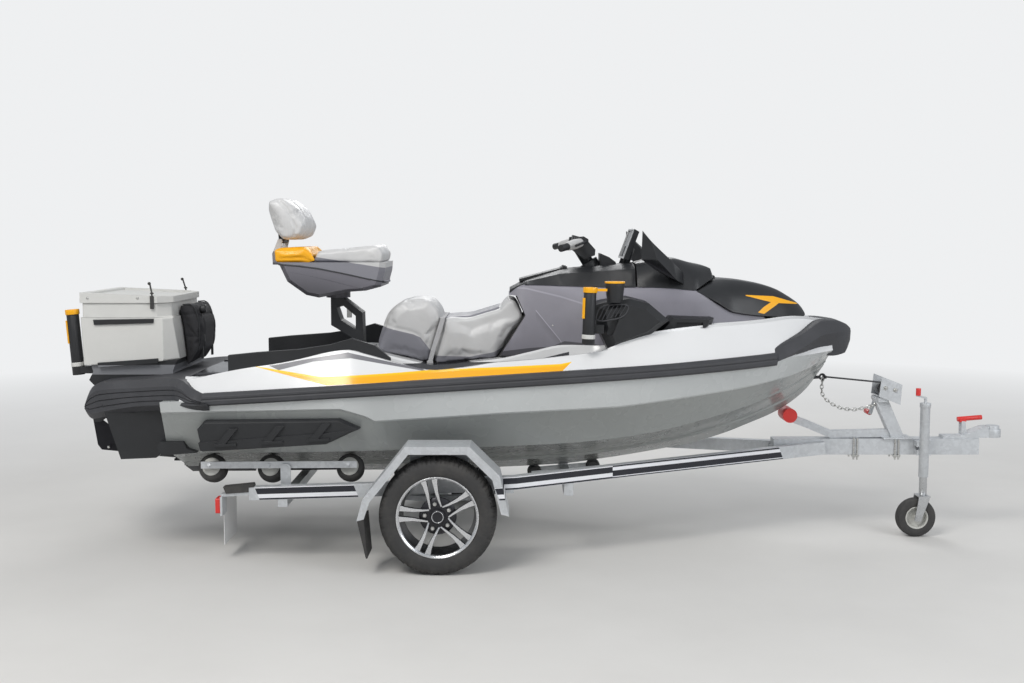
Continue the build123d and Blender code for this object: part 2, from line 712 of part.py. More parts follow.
def rod_tube(start, end):
    """A tube for a fishing rod, with a plug at its bottom."""
    with BuildPart() as body:
        add(rod(start, end, ROD_BORE + ROD_WALL, ROD_BORE))
        add(rod(start, toward(start, end, ROD_PLUG), ROD_BORE))
    return body.part


with BuildPart() as rod_holders:
    front_core = rod(*FRONT_TUBE, ROD_BORE + ROD_WALL)
    rear_core = rod(*REAR_TUBE, ROD_BORE + ROD_WALL)
    add(less(block(190, 250, -530, -470, 1060, 1100), front_core, deck.part, side_pods.part))
    add(rod_tube(*FRONT_TUBE))
    add(less(turned(CUP, (0, 0, 1), cup_profile), front_core, side_pods.part, deck.part))
    add(less(block(-2262, -2180, -275, -225, 846, 880), rear_core, stern_platform.part))
    add(rod_tube(*REAR_TUBE))
    mirror(about=Plane.XZ)
pieces["rod_holders"] = rod_holders
with BuildPart() as rod_caps:
    for tube in (FRONT_TUBE, REAR_TUBE):
        length = (Vector(*tube[1]) - Vector(*tube[0])).length + SEAT_GAP
        cap = (toward(*tube, length), toward(*tube, length + CAP_HEIGHT))
        add(rod(*cap, ROD_BORE + ROD_WALL + 4, ROD_BORE + 1))
    cup_top = (CUP[0], CUP[1], CUP[2] + 88 + SEAT_GAP)
    add(rod(cup_top, (cup_top[0], cup_top[1], cup_top[2] + 8), 47, 38))
    add(block(212, 262, -550, -538, 1256, 1268))
    mirror(about=Plane.XZ)
pieces["rod_caps"] = rod_caps

# Cooler, tackle bag and ladder

COOLER_FOOT_RISE = 24.0
cooler_front = COOLER_X[1] + 24


def upright(points, z_low, z_high):
    """A plan outline extruded upward."""
    with BuildPart() as body:
        with BuildSketch(Plane.XY.offset(z_low)):
            with BuildLine():
                Polyline(*points, close=True)
            make_face()
        extrude(amount=z_high - z_low)
    return body.part


def cooler_plan(x_low, x_high, half_width):
    """The cooler's plan outline, with its two front corners chamfered."""
    corner = COOLER_CORNER
    side = [(x_high, half_width - corner), (x_high - corner, half_width), (x_low, half_width)]
    return [*side, *[(x, -y) for x, y in reversed(side)]]


base_outline = [
    (COOLER_X[0] + 28, 815),
    (COOLER_X[0] + 50, 856),
    (COOLER_X[0] + 40, COOLER_Z[0]),
    (cooler_front, COOLER_Z[0] + COOLER_FOOT_RISE),
    (cooler_front - 22, 860),
    (cooler_front - 22, 790),
    (COOLER_X[0] + 100, 740),
]
shell_side = [
    (COOLER_X[0] + 9, COOLER_Z[0]),
    (COOLER_X[0], COOLER_SHOULDER_Z),
    (COOLER_X[1], COOLER_SHOULDER_Z),
    (cooler_front, COOLER_Z[0] + COOLER_FOOT_RISE),
]
with BuildPart() as cooler_base:
    add(prism(base_outline, -285, 285))
    for other in (stern_platform, hull, deck, rod_holders):
        add(other.part, mode=Mode.SUBTRACT)
with BuildPart() as cooler_body:
    add(prism(shell_side, -COOLER_HALF_WIDTH, COOLER_HALF_WIDTH))
    plan = cooler_plan(COOLER_X[0] - 10, cooler_front, COOLER_HALF_WIDTH)
    add(upright(plan, COOLER_Z[0] - 10, COOLER_SHOULDER_Z), mode=Mode.INTERSECT)
    neck_x = (COOLER_X[0] + COOLER_NECK, COOLER_X[1] - COOLER_NECK)
    neck = cooler_plan(*neck_x, COOLER_HALF_WIDTH - COOLER_NECK)
    add(upright(neck, COOLER_SHOULDER_Z, COOLER_Z[1]))
    inside_y = COOLER_HALF_WIDTH - COOLER_WALL - 14
    add(
        block(
            COOLER_X[0] + COOLER_WALL,
            COOLER_X[1] - COOLER_WALL - 14,
            -inside_y,
            inside_y,
            COOLER_Z[0] + COOLER_WALL,
            1300,
        ),
        mode=Mode.SUBTRACT,
    )
    add(deck.part, mode=Mode.SUBTRACT)
pieces["cooler_body"] = cooler_body

COOLER_PIN_RADIUS = 4.0
COOLER_KNUCKLE_RADIUS = 8.0
lid_z = COOLER_Z[1] + SEAT_GAP
cooler_hinge = (COOLER_X[0] - COOLER_KNUCKLE_RADIUS, COOLER_Z[1] - 2)
with BuildPart() as cooler_lid:
    lid_side = [
        (COOLER_X[0], lid_z),
        (COOLER_X[0], lid_z + COOLER_LID_HEIGHT + 6),
        (COOLER_X[1], lid_z + COOLER_LID_HEIGHT - 14),
        (COOLER_X[1], lid_z),
    ]
    add(prism(lid_side, -COOLER_HALF_WIDTH, COOLER_HALF_WIDTH))
    add(upright(cooler_plan(*COOLER_X, COOLER_HALF_WIDTH), lid_z, 1300), mode=Mode.INTERSECT)
    recess_x = (COOLER_X[0] + 34, COOLER_X[1] - 34)
    recess_floor = [(recess_x[0], lid_z + 38), (recess_x[1], lid_z + 20)]
    recess = [*recess_floor, (recess_x[1], 1300), (recess_x[0], 1300)]
    add(prism(recess, -COOLER_HALF_WIDTH + 40, COOLER_HALF_WIDTH - 40), mode=Mode.SUBTRACT)
    for side in (-1, 1):
        low, high = sorted((side * 130, side * 190))
        add(bar_across(*cooler_hinge, low, high, COOLER_KNUCKLE_RADIUS))
        add(block(cooler_hinge[0], COOLER_X[0] + 4, low, high, lid_z, lid_z + 6))
        add(bar_across(*cooler_hinge, low - 1, high + 1, COOLER_PIN_RADIUS + SHAFT_FIT), mode=Mode.SUBTRACT)
pieces["cooler_lid"] = cooler_lid
with BuildPart() as cooler_trim:
    for side in (-1, 1):
        ends = sorted((side * 118, side * 202))
        add(bar_across(*cooler_hinge, *ends, COOLER_PIN_RADIUS))
        arm_top = [(cooler_hinge[0] - 8, cooler_hinge[1] + 5), (cooler_hinge[0] + 4, cooler_hinge[1] + 5)]
        for y in ends:
            arm = prism([*arm_top, (COOLER_X[0], 1120), (COOLER_X[0], 1080)], y - 5, y + 5)
            add(less(arm, cooler_body.part, cooler_lid.part))
    for outline in (
        [(-2180, 1108), (-1891, 1113), (-1892, 1092), (-2176, 1083)],
        [(-2165, 901), (-1874, 922), (-1875, 900), (-2162, 880)],
    ):
        for side in (-1, 1):
            ends = sorted((side * COOLER_HALF_WIDTH, side * (COOLER_HALF_WIDTH + 8)))
            add(prism(outline, *ends))
    add(cooler_base.part)
pieces["cooler_trim"] = cooler_trim
with BuildPart() as cooler_latches:
    for side in (-1, 1):
        ends = sorted((side * COOLER_HALF_WIDTH, side * (COOLER_HALF_WIDTH + 6)))
        add(prism([(-1909, 1136), (-1883, 1136), (-1883, 1250), (-1909, 1250)], *ends))
        head = sorted((side * (COOLER_HALF_WIDTH - 6), side * (COOLER_HALF_WIDTH + 12)))
        add(prism([(-1924, 1244), (-1868, 1244), (-1868, 1256), (-1924, 1256)], *head))
    add(cooler_lid.part, mode=Mode.SUBTRACT)
pieces["cooler_latches"] = cooler_latches

with BuildPart() as tackle_bag:
    bag_front = [(-1738, 1180), (-1704, 1080), (-1709, 950), (-1748, 900), (-1770, 868)]
    bag = prism([(-1800, 868), (-1816, 1176), *bag_front], -150, 150)
    foot_top = COOLER_Z[0] + COOLER_FOOT_RISE + 2
    foot_room = block(COOLER_X[1] - 20, cooler_front + 0.5, -160, 160, 860, foot_top)
    add(less(bag, foot_room, cooler_body.part, cooler_lid.part, deck.part, stern_platform.part))
pieces["tackle_bag"] = tackle_bag

LADDER_STEP_Z = 478.0
LADDER_PLATE_Y = (148.0, 157.0)
ladder_plate_top = [(-2250, 622), (-2234, 628), (-2204, 602), (-2151, 562), (-2108, 522)]
ladder_plate = [*ladder_plate_top, (-2105, 442), (-2209, 452), (-2228, 477)]
with BuildPart() as boarding_ladder:
    add(prism(ladder_plate, -LADDER_PLATE_Y[1], -LADDER_PLATE_Y[0]))
    mirror(about=Plane.XZ)
    add(bar_across(-2205, LADDER_STEP_Z, -LADDER_PLATE_Y[0], LADDER_PLATE_Y[0], 15))
    step = [(-2190, 462), (-2122, 456), (-2122, 470), (-2190, 476)]
    add(prism(step, -LADDER_PLATE_Y[0], LADDER_PLATE_Y[0]))
    add(bar_across(*LADDER_PIVOT, -180, 180, LADDER_PIN_RADIUS + SHAFT_FIT), mode=Mode.SUBTRACT)
pieces["boarding_ladder"] = boarding_ladder

# Chair

CHAIR_X = -1048.0
CHAIR_SEAT_Z = 1200.0
CHAIR_SPIGOT_RADIUS = 14.0
post_front = [(-1078, 1200), (-1017, 1200), (-921, 1126), (-917, 952)]
post_outline = [*post_front, (-980, 952), (-979, 1004), (-1078, 1064)]
window_outline = [(-1050, 1150), (-1015, 1160), (-955, 1110), (-955, 1040), (-1030, 1090)]
with BuildPart() as chair_post:
    add(less(prism(post_outline, -60, 60), prism(window_outline, -80, 80)))
    add(less(block(-1030, -870, -110, 110, 900, 954), deck.part))
    add(rod((CHAIR_X, 0, CHAIR_SEAT_Z - 10), (CHAIR_X, 0, CHAIR_SEAT_Z + 16), CHAIR_SPIGOT_RADIUS))
pieces["chair_post"] = chair_post

BACK_PIVOT = (-1322.0, 1482.0)
BACK_PIN_RADIUS = 6.0
BACK_EAR_Y = (81.0, 91.0)
SHELL_HALF_WIDTH = 215.0
SHELL_RIM_Z = 1380.0
shell_outline = [
    (-1340, SHELL_RIM_Z),
    (-1307, 1368),
    (-1269, 1286),
    (-1178, 1221),
    (-1116, 1208),
    (-960, 1237),
    (-887, 1242),
    (-814, 1261),
    (-794, 1334),
    (-790, SHELL_RIM_Z),
]
ear = [(-1358, 1378), (-1334, 1378), (-1308, 1484), (-1314, 1493), (-1330, 1493), (-1360, 1420)]
with BuildPart() as chair_shell:
    side = shrunk(shell_outline, (-1060, SHELL_RIM_Z), 0.9)
    add(edged(shell_outline, side, SHELL_HALF_WIDTH - 30, SHELL_HALF_WIDTH))
    for side in (-1, 1):
        ends = sorted(side * y for y in BACK_EAR_Y)
        add(prism(ear, *ends))
    add(block(-1358, -1300, -BACK_EAR_Y[1], BACK_EAR_Y[1], 1366, SHELL_RIM_Z))
    pin_y = BACK_EAR_Y[1]
    add(bar_across(*BACK_PIVOT, -pin_y, pin_y, BACK_PIN_RADIUS))
    add(rod((CHAIR_X, 0, CHAIR_SEAT_Z + SEAT_GAP), (CHAIR_X, 0, 1236), 60))
    spigot_room = rod((CHAIR_X, 0, 1199), (CHAIR_X, 0, 1218), CHAIR_SPIGOT_RADIUS + SHAFT_FIT)
    add(spigot_room, mode=Mode.SUBTRACT)
    add(rod((-850, -140, 1275), (-770, -186, 1292), 6))
pieces["chair_shell"] = chair_shell

cushion_outline = [(-1155, 1380.3), (-1128, 1428), (-814, 1459), (-790, 1420), (-796, 1380.3)]
with BuildPart() as chair_cushion:
    add(edged(cushion_outline, shrunk(cushion_outline, (-970, 1381), 0.95), 176, 202))
    add(chair_shell.part, mode=Mode.SUBTRACT)
pieces["chair_cushion"] = chair_cushion
bolster_outline = [(-1330, 1380.3), (-1334, 1444), (-1174, 1450), (-1120, 1400), (-1120, 1380.3)]
with BuildPart() as chair_bolster:
    add(edged(bolster_outline, shrunk(bolster_outline, (-1240, 1381), 0.92), 186, 214))
    for other in (chair_shell, chair_cushion):
        add(other.part, mode=Mode.SUBTRACT)
pieces["chair_bolster"] = chair_bolster

back_front = [(-1368, 1682), (-1285, 1692), (-1223, 1644), (-1175, 1556), (-1196, 1503)]
back_outline = [*back_front, (-1262, 1483), (-1290, 1486), (-1318, 1520)]
with BuildPart() as chair_back:
    add(edged(back_outline, shrunk(back_outline, (-1270, 1590), 0.86), 168, 200))
pieces["chair_back"] = chair_back
plate_outline = [(-1330, 1486), (-1318, 1484), (-1308, 1520), (-1356, 1640), (-1374, 1640), (-1334, 1540)]
with BuildPart() as backrest_plate:
    add(bar_across(*BACK_PIVOT, -76, 76, 11))
    add(less(prism(plate_outline, -70, 70), chair_back.part))
    add(bar_across(*BACK_PIVOT, -80, 80, BACK_PIN_RADIUS + SHAFT_FIT), mode=Mode.SUBTRACT)
pieces["backrest_plate"] = backrest_plate

# Jet pump, with its steering nozzle and reverse bucket

GRATE_BARS = (-60.0, -30.0, 0.0, 30.0, 60.0)
with BuildPart() as intake_grate:
    for y in GRATE_BARS:
        ends = [(x, hull_bottom_z(x, y) + 2) for x in (intake_x[0] + 12, intake_x[1] + 30)]
        bar = [*ends, (ends[1][0], ends[1][1] + 12), (ends[0][0], ends[0][1] + 12)]
        add(prism(bar, y - 3, y + 3))
    grate_z = hull_bottom_z(intake_x[0], GRATE_BARS[-1])
    cross_x = (intake_x[0] + 12, intake_x[0] + 22)
    add(block(*cross_x, -INTAKE_HALF_WIDTH, INTAKE_HALF_WIDTH, grate_z - 20, grate_z + 14))
    add(hull.part, mode=Mode.SUBTRACT)

STATOR_VANES = 3
STATOR_HUB_RADIUS = 30.0
PUMP_SHAFT_RADIUS = 10.0
BEARING_RADIUS = PUMP_SHAFT_RADIUS + SHAFT_FIT
NOZZLE_LUG_Z = 66.0
pump_x = (TRANSOM_X - PUMP_OVERHANG, intake_x[0])
hub_span = [(pump_x[0] + distance, 0, PUMP_Z) for distance in (20, 90)]
with BuildPart() as pump_housing:
    add(rod((pump_x[1], 0, PUMP_Z), (pump_x[0], 0, PUMP_Z), PUMP_RADIUS, PUMP_RADIUS - PUMP_WALL))
    add(turned((pump_x[0], 0, PUMP_Z), (-1, 0, 0), [(0, 80), (0, 88), (16, 74), (16, 66)]))
    for vane in range(STATOR_VANES):
        angle = math.radians(90 + 360 / STATOR_VANES * vane)
        y = math.cos(angle)
        z = math.sin(angle)
        root = (pump_x[0] + 60, y * 52, PUMP_Z + z * 52)
        with BuildSketch(Plane(root, x_dir=(1, 0, 0), z_dir=(0, y, z))):
            Rectangle(60, 6)
        extrude(amount=30, both=True)
    add(rod(*hub_span, STATOR_HUB_RADIUS, BEARING_RADIUS))
    add(rod(*hub_span, BEARING_RADIUS), mode=Mode.SUBTRACT)
    for side in (-1, 1):
        start = (BUCKET_PIVOT_X, side * 70, PUMP_Z)
        add(rod(start, (BUCKET_PIVOT_X, side * 106, PUMP_Z), BUCKET_PIN_RADIUS))
        add(rod(start, (BUCKET_PIVOT_X, side * 97, PUMP_Z), 2 * BUCKET_PIN_RADIUS))
        z = PUMP_Z + side * NOZZLE_LUG_Z
        add(block(NOZZLE_PIVOT_X - 12, pump_x[0] - 4, -14, 14, z - 5, z + 5))
        pin_start = (NOZZLE_PIVOT_X, 0, PUMP_Z + side * 49)
        add(rod(pin_start, (NOZZLE_PIVOT_X, 0, z + side * 6), NOZZLE_PIN_RADIUS))
    add(intake_grate.part)
pieces["pump_housing"] = pump_housing

IMPELLER_BLADES = 4
with BuildPart() as impeller:
    hub_x = pump_x[0] + 95
    add(rod((hub_x, 0, PUMP_Z), (hub_x + 80, 0, PUMP_Z), 28))
    add(rod((pump_x[0] + 40, 0, PUMP_Z), (hub_x + 190, 0, PUMP_Z), PUMP_SHAFT_RADIUS))
    for blade in range(IMPELLER_BLADES):
        angle = math.radians(360 / IMPELLER_BLADES * blade)
        y = math.cos(angle)
        z = math.sin(angle)
        root = (hub_x + 40, y * 20, PUMP_Z + z * 20)
        with BuildSketch(Plane(root, x_dir=(0.8, -0.6 * z, 0.6 * y), z_dir=(0, y, z))):
            Rectangle(70, 5)
        extrude(amount=55)
pieces["impeller"] = impeller

with BuildPart() as steering_nozzle:
    nozzle_profile = [(-18, 50), (-18, 57), (0, 57), (90, 50), (90, 44), (0, 50)]
    add(turned((pump_x[0] - 46, 0, PUMP_Z), (-1, 0, 0), nozzle_profile))
    nozzle_bore = [(NOZZLE_PIVOT_X, 0, PUMP_Z + z) for z in (-80, 80)]
    add(rod(*nozzle_bore, NOZZLE_PIN_RADIUS + SHAFT_FIT), mode=Mode.SUBTRACT)
pieces["steering_nozzle"] = steering_nozzle

BUCKET_RADIUS = 140.0
BUCKET_SHEET = 6.0
BUCKET_HALF_WIDTH = 104.0
BUCKET_TURNS = (35, 50, 65, 80, 95)
bucket_arcs = []
for radius in (BUCKET_RADIUS, BUCKET_RADIUS + BUCKET_SHEET):
    arc = []
    for turn in BUCKET_TURNS:
        angle = math.radians(turn)
        arc.append((BUCKET_PIVOT_X - radius * math.cos(angle), PUMP_Z + radius * math.sin(angle)))
    bucket_arcs.append(arc)
cheek_foot = [(20, 14), (8, -20), (-14, -16)]
cheek = [*bucket_arcs[0], *[(BUCKET_PIVOT_X + x, PUMP_Z + z) for x, z in cheek_foot]]
with BuildPart() as reverse_bucket:
    add(prism([*bucket_arcs[0], *reversed(bucket_arcs[1])], -BUCKET_HALF_WIDTH, BUCKET_HALF_WIDTH))
    add(prism(cheek, -BUCKET_HALF_WIDTH, -BUCKET_HALF_WIDTH + BUCKET_SHEET))
    add(prism(cheek, BUCKET_HALF_WIDTH - BUCKET_SHEET, BUCKET_HALF_WIDTH))
    bucket_bore = [(BUCKET_PIVOT_X, y, PUMP_Z) for y in (-110, 110)]
    add(rod(*bucket_bore, BUCKET_PIN_RADIUS + SHAFT_FIT), mode=Mode.SUBTRACT)
pieces["reverse_bucket"] = reverse_bucket

# Engine

with BuildPart() as engine_block:
    add(block(*ENGINE_X, -ENGINE_HALF_WIDTH, ENGINE_HALF_WIDTH, *ENGINE_Z))
pieces["engine_block"] = engine_block

# Trailer frame

rail_rear = [(-1385, -580, 327), (-834, -590, 346), (-156, -598, 381)]
rail_path = [*rail_rear, (435, -400, 408), (1240, -62, 427), (1400, -62, 445)]
CROSS_X = (-1230.0, -700.0, 90.0)
CROSS_SIZE = 44.0
KEEL_CLEARANCE = 6.0
BOGIE_X = (-60.0, 240.0)
KEEL_ROLLER_RADIUS = 36.0
KEEL_ROLLER_WIDTH = 92.0
PIN_RADIUS = 8.0
LAMP_PLATE_X = -1514.0
SPRING_HALF_LENGTH = 330.0
LEAF_WIDTH = 40.0
LEAF_THICKNESS = 8.0
LEAVES = (330.0, 250.0, 160.0)


def rail_at(x):
    """The starboard side rail's centre at x, as y and z."""
    return [interpolate([(point[0], *point) for point in rail_path], x, column) for column in (2, 3)]


def keel_roller_z(x):
    return interpolate(HULL, x, 2) - KEEL_ROLLER_RADIUS - SEAT_GAP


ROLLER_RADIUS = 66.0
ROLLER_WIDTH = 84.0
ROLLER_Y = 425.0
ROLLER_X = (-1589.0, -1311.0, -939.0)
CRADLE_Y = 498.0
CRADLE_BAR = 32.0
BRACKET_Y = 512.0


def roller_seat(x):
    """Height of a roller's centre under the hull at x, and the V bottom's slope there."""
    keel, chine_y, chine_z = (interpolate(HULL, x, column) for column in (2, 3, 4))
    slope = math.atan((chine_z - keel) / chine_y)
    return hull_bottom_z(x, ROLLER_Y) - (ROLLER_RADIUS + SEAT_GAP) / math.cos(slope), slope


def on_roller_axis(x, y):
    """A point of the roller's slanting axis at distance y from the middle plane."""
    centre, slope = roller_seat(x)
    return (x, -y, centre + (y - ROLLER_Y) * math.tan(slope))


with BuildPart() as trailer_frame:
    add(beam(rail_path, RAIL_WIDTH, RAIL_DEPTH))
    mirror(about=Plane.XZ)
    half = DRAWBAR_SIZE / 2
    add(block(*DRAWBAR_X, -half, half, DRAWBAR_Z - half, DRAWBAR_Z + half))
    for x in CROSS_X:
        rail_y, rail_z = rail_at(x)
        top = interpolate(HULL, x, 2) - KEEL_CLEARANCE
        span = (x - CROSS_SIZE / 2, x + CROSS_SIZE / 2)
        add(block(*span, rail_y - 20, 20 - rail_y, top - CROSS_SIZE, top))
        for side in (-1, 1):
            inner, outer = sorted((side * (rail_y + 20), side * (rail_y - 20)))
            add(block(*span, inner, outer, top - 10, max(top, rail_z - RAIL_DEPTH / 2 + 4)))
    rail_y, rail_z = rail_at(DRAWBAR_X[0] + 20)
    add(block(DRAWBAR_X[0] - 2, DRAWBAR_X[0] + 42, rail_y, -rail_y, rail_z - 28, rail_z + 16))
    for side in (-1, 1):
        bar_line = [(x + past, keel_roller_z(x)) for x, past in zip(BOGIE_X, (-16, 16))]
        bogie = [(x, z - 14) for x, z in bar_line] + [(x, z + 14) for x, z in reversed(bar_line)]
        low = side * (KEEL_ROLLER_WIDTH / 2 + 4.3) - 4
        add(prism(bogie, low, low + 8))
        ends = sorted((side * 562, side * 598))
        lamp_arm = [(-1504, 225), (-1504, 312), (-1385, 320), (-1385, 334)]
        add(prism([(LAMP_PLATE_X, 225), *lamp_arm, (LAMP_PLATE_X, 326)], *ends))
        ends = sorted((side * 530, side * 620))
        add(block(LAMP_PLATE_X, -1504, *ends, 228, 316))
pieces["trailer_frame"] = trailer_frame

with BuildPart() as axle:
    half = AXLE_SIZE / 2
    spring_y = abs(rail_at(WHEEL_X)[0])
    beam_x = (WHEEL_X - half, WHEEL_X + half)
    add(block(*beam_x, -AXLE_HALF_LENGTH, AXLE_HALF_LENGTH, AXLE_Z - half, AXLE_Z + half))
    plate_z = (min(AXLE_Z, WHEEL_RADIUS) - half, max(AXLE_Z, WHEEL_RADIUS) + half)
    for side in (-1, 1):
        ends = sorted((side * (AXLE_HALF_LENGTH - 8), side * AXLE_HALF_LENGTH))
        add(block(*beam_x, *ends, *plate_z))
        stub = (WHEEL_X, side * (AXLE_HALF_LENGTH - 8), WHEEL_RADIUS)
        add(rod(stub, (WHEEL_X, side * (WHEEL_Y + 25), WHEEL_RADIUS), AXLE_RADIUS))
        for count, reach in enumerate(LEAVES):
            top = AXLE_Z + half + (len(LEAVES) - count) * LEAF_THICKNESS
            tip = top + 30.0 * (reach / SPRING_HALF_LENGTH) ** 2
            with BuildSketch(side_plane(side * spring_y + LEAF_WIDTH / 2)):
                with BuildLine():
                    ThreePointArc((WHEEL_X - reach, tip), (WHEEL_X, top), (WHEEL_X + reach, tip))
                    Line((WHEEL_X + reach, tip), (WHEEL_X + reach, tip - LEAF_THICKNESS))
                    ThreePointArc(
                        (WHEEL_X + reach, tip - LEAF_THICKNESS),
                        (WHEEL_X, top - LEAF_THICKNESS),
                        (WHEEL_X - reach, tip - LEAF_THICKNESS),
                    )
                    Line((WHEEL_X - reach, tip - LEAF_THICKNESS), (WHEEL_X - reach, tip))
                make_face()
            extrude(amount=LEAF_WIDTH)
        for end in (-1, 1):
            x = WHEEL_X + end * (SPRING_HALF_LENGTH - 12)
            ends = sorted((side * (spring_y - 26), side * (spring_y + 26)))
            hanger_foot = AXLE_Z + half + len(LEAVES) * LEAF_THICKNESS + 16
            add(block(x - 22, x + 22, *ends, hanger_foot, rail_at(x)[1]))
    add(trailer_frame.part, mode=Mode.SUBTRACT)
pieces["axle"] = axle

# Road wheels

HUB_RADIUS = 36.0
SPOKE_RING = 112.0
SPOKES = 5
for name, side in (("right", -1), ("left", 1)):
    centre = (WHEEL_X, side * WHEEL_Y, WHEEL_RADIUS)
    half = WHEEL_WIDTH / 2
    tyre_profile = [
        (-68, RIM_RADIUS + 4),
        (-half, WHEEL_RADIUS - 30),
        (-60, WHEEL_RADIUS),
        (60, WHEEL_RADIUS),
        (half, WHEEL_RADIUS - 30),
        (68, RIM_RADIUS + 4),
    ]
    with BuildPart() as tyre:
        add(turned(centre, (0, 1, 0), tyre_profile))
    pieces[f"tyre_{name}"] = tyre
    with BuildPart() as rim:
        barrel = [(y, RIM_RADIUS + 3.9) for y in (-71, 71)] + [(y, RIM_RADIUS - 8) for y in (71, -71)]
        add(turned(centre, (0, 1, 0), barrel))
        face = (WHEEL_X, side * (WHEEL_Y + 40), WHEEL_RADIUS)
        with BuildSketch(Plane(face, x_dir=(1, 0, 0), z_dir=(0, side, 0))):
            Circle(RIM_RADIUS - 6)
            with PolarLocations(SPOKE_RING, SPOKES):
                Polygon((-40, -12), (48, -46), (48, 46), (-40, 12), mode=Mode.SUBTRACT)
            with PolarLocations(SPOKE_RING, SPOKES, start_angle=180 / SPOKES):
                Polygon((-30, -5), (46, -14), (46, 14), (-30, 5), mode=Mode.SUBTRACT)
        extrude(amount=20)
        hub = [(WHEEL_X, side * (WHEEL_Y + y), WHEEL_RADIUS) for y in (-60, 62)]
        add(rod(*hub, HUB_RADIUS))
        hub_bore = [(WHEEL_X, side * (WHEEL_Y + y), WHEEL_RADIUS) for y in (-61, 30)]
        add(rod(*hub_bore, AXLE_RADIUS + SHAFT_FIT), mode=Mode.SUBTRACT)
    pieces[f"rim_{name}"] = rim

GUARD_SHEET = 3.0
MUDGUARD_Y = (640.0, 828.0)
guard = [(-862, 253), (-834, 352), (-646, 585), (-359, 585), (-227, 455), (-187, 275)]
guard_inner = [(-859, 252), (-831, 351), (-644.5, 582), (-360.5, 582), (-230, 454), (-190, 274)]
guard_lip = [(-829, 262), (-803, 338), (-631, 551), (-375, 551), (-260, 437), (-222, 284)]
with BuildPart() as mudguards:
    add(prism([*guard, *reversed(guard_inner)], -MUDGUARD_Y[1], -MUDGUARD_Y[0]))
    add(prism([*guard, *reversed(guard_lip)], -MUDGUARD_Y[1] - GUARD_SHEET, -MUDGUARD_Y[1]))
    skirt = [(-640, 340), (-640, 584), (-370, 584), (-370, 340)]
    add(less(prism(skirt, -MUDGUARD_Y[0], -MUDGUARD_Y[0] + GUARD_SHEET + 1), trailer_frame.part))
    for x in (-625, -385):
        add(less(block(x - 15, x + 15, -MUDGUARD_Y[0], -575, 355, 375), trailer_frame.part))
    mirror(about=Plane.XZ)
pieces["mudguards"] = mudguards

# Rollers under the hull and their cradles

with BuildPart() as hull_rollers:
    for x in ROLLER_X:
        slope = roller_seat(x)[1]
        reach = math.cos(slope) * ROLLER_WIDTH / 2
        ends = [on_roller_axis(x, ROLLER_Y + y) for y in (-reach, reach)]
        add(rod(*ends, ROLLER_RADIUS, PIN_RADIUS + 0.2))
    mirror(about=Plane.XZ)
    for x in BOGIE_X:
        z = keel_roller_z(x)
        ends = [(x, y, z) for y in (-KEEL_ROLLER_WIDTH / 2, KEEL_ROLLER_WIDTH / 2)]
        add(rod(*ends, KEEL_ROLLER_RADIUS))
pieces["hull_rollers"] = hull_rollers
with BuildPart() as roller_cradles:
    bar_ends = [on_roller_axis(x, CRADLE_Y) for x in (ROLLER_X[0], ROLLER_X[-1])]
    bar_ends = [(bar_ends[0][0] - 40, *bar_ends[0][1:]), (bar_ends[1][0] + 40, *bar_ends[1][1:])]
    add(beam(bar_ends, 8, CRADLE_BAR))
    for x in ROLLER_X:
        add(rod(on_roller_axis(x, ROLLER_Y - 44), on_roller_axis(x, CRADLE_Y + 10), PIN_RADIUS))
    bracket = [(-1254, 300), (-1207, 300), (-1207, 438), (-1218, 449), (-1243, 449), (-1254, 438)]
    add(prism(bracket, -BRACKET_Y - 4, -BRACKET_Y + 4))
    add(rod((-1230, -BRACKET_Y - 8, 430), (-1230, -CRADLE_Y, 430), 12))
    add(trailer_frame.part, mode=Mode.SUBTRACT)
    mirror(about=Plane.XZ)
pieces["roller_cradles"] = roller_cradles

# Winch post, winch and bow stop

WINCH_DRUM = (1722.0, 735.0)
WINCH_SIDE_Y = (64.0, 70.0)
CRANK_Y = 98.0
with BuildPart() as winch_post:
    add(prism([(1750, 485.3), (1816, 485.3), (1722, 693), (1655, 693)], -32, 32))
    add(block(1700, 1850, -55, 55, 485.3, 493))
    add(beam([(1760, 0, 512), (1445, 0, 505), (1316, 0, 560), (1245, 0, 586)], 38, 38))
pieces["winch_post"] = winch_post
with BuildPart() as bow_stop:
    add(less(rod((1226, -60, 606), (1226, 60, 606), 36), hull.part, winch_post.part))
pieces["bow_stop"] = bow_stop
winch_side = [(1680, 806), (1783, 765), (1776, 663), (1668, 704)]
with BuildPart() as winch:
    for side in (-1, 1):
        ends = sorted(side * y for y in WINCH_SIDE_Y)
        add(prism(winch_side, *ends))
        flange = sorted((side * 44, side * 48))
        add(rod((WINCH_DRUM[0], flange[0], WINCH_DRUM[1]), (WINCH_DRUM[0], flange[1], WINCH_DRUM[1]), 40))
    inner = WINCH_SIDE_Y[0]
    add(prism([(1776, 663), (1770, 669), (1673, 706), (1668, 704)], -inner, inner))
    add(rod((WINCH_DRUM[0], -inner, WINCH_DRUM[1]), (WINCH_DRUM[0], inner, WINCH_DRUM[1]), 12))
    add(block(1668, 1714, -60, 60, 676, 698))
    add(winch_post.part, mode=Mode.SUBTRACT)
    add(rod((WINCH_DRUM[0], WINCH_SIDE_Y[1], WINCH_DRUM[1]), (WINCH_DRUM[0], CRANK_Y, WINCH_DRUM[1]), 9))
    crank = [(1712, 745), (1732, 745), (1684, 588), (1666, 592)]
    add(prism(crank, CRANK_Y, CRANK_Y + 6))
pieces["winch"] = winch
with BuildPart() as bow_eye:
    add(less(rod((1330, 0, 792), (1388, 0, 796), 8), hull.part))
    with Locations(Location((1398, 0, 797), (90, 0, 0))):
        Torus(13, 5)
with BuildPart() as hull_fittings:
    add(stern_fittings.part)
    add(bow_eye.part)
pieces["hull_fittings"] = hull_fittings
STRAP_HALF_WIDTH = 25.0
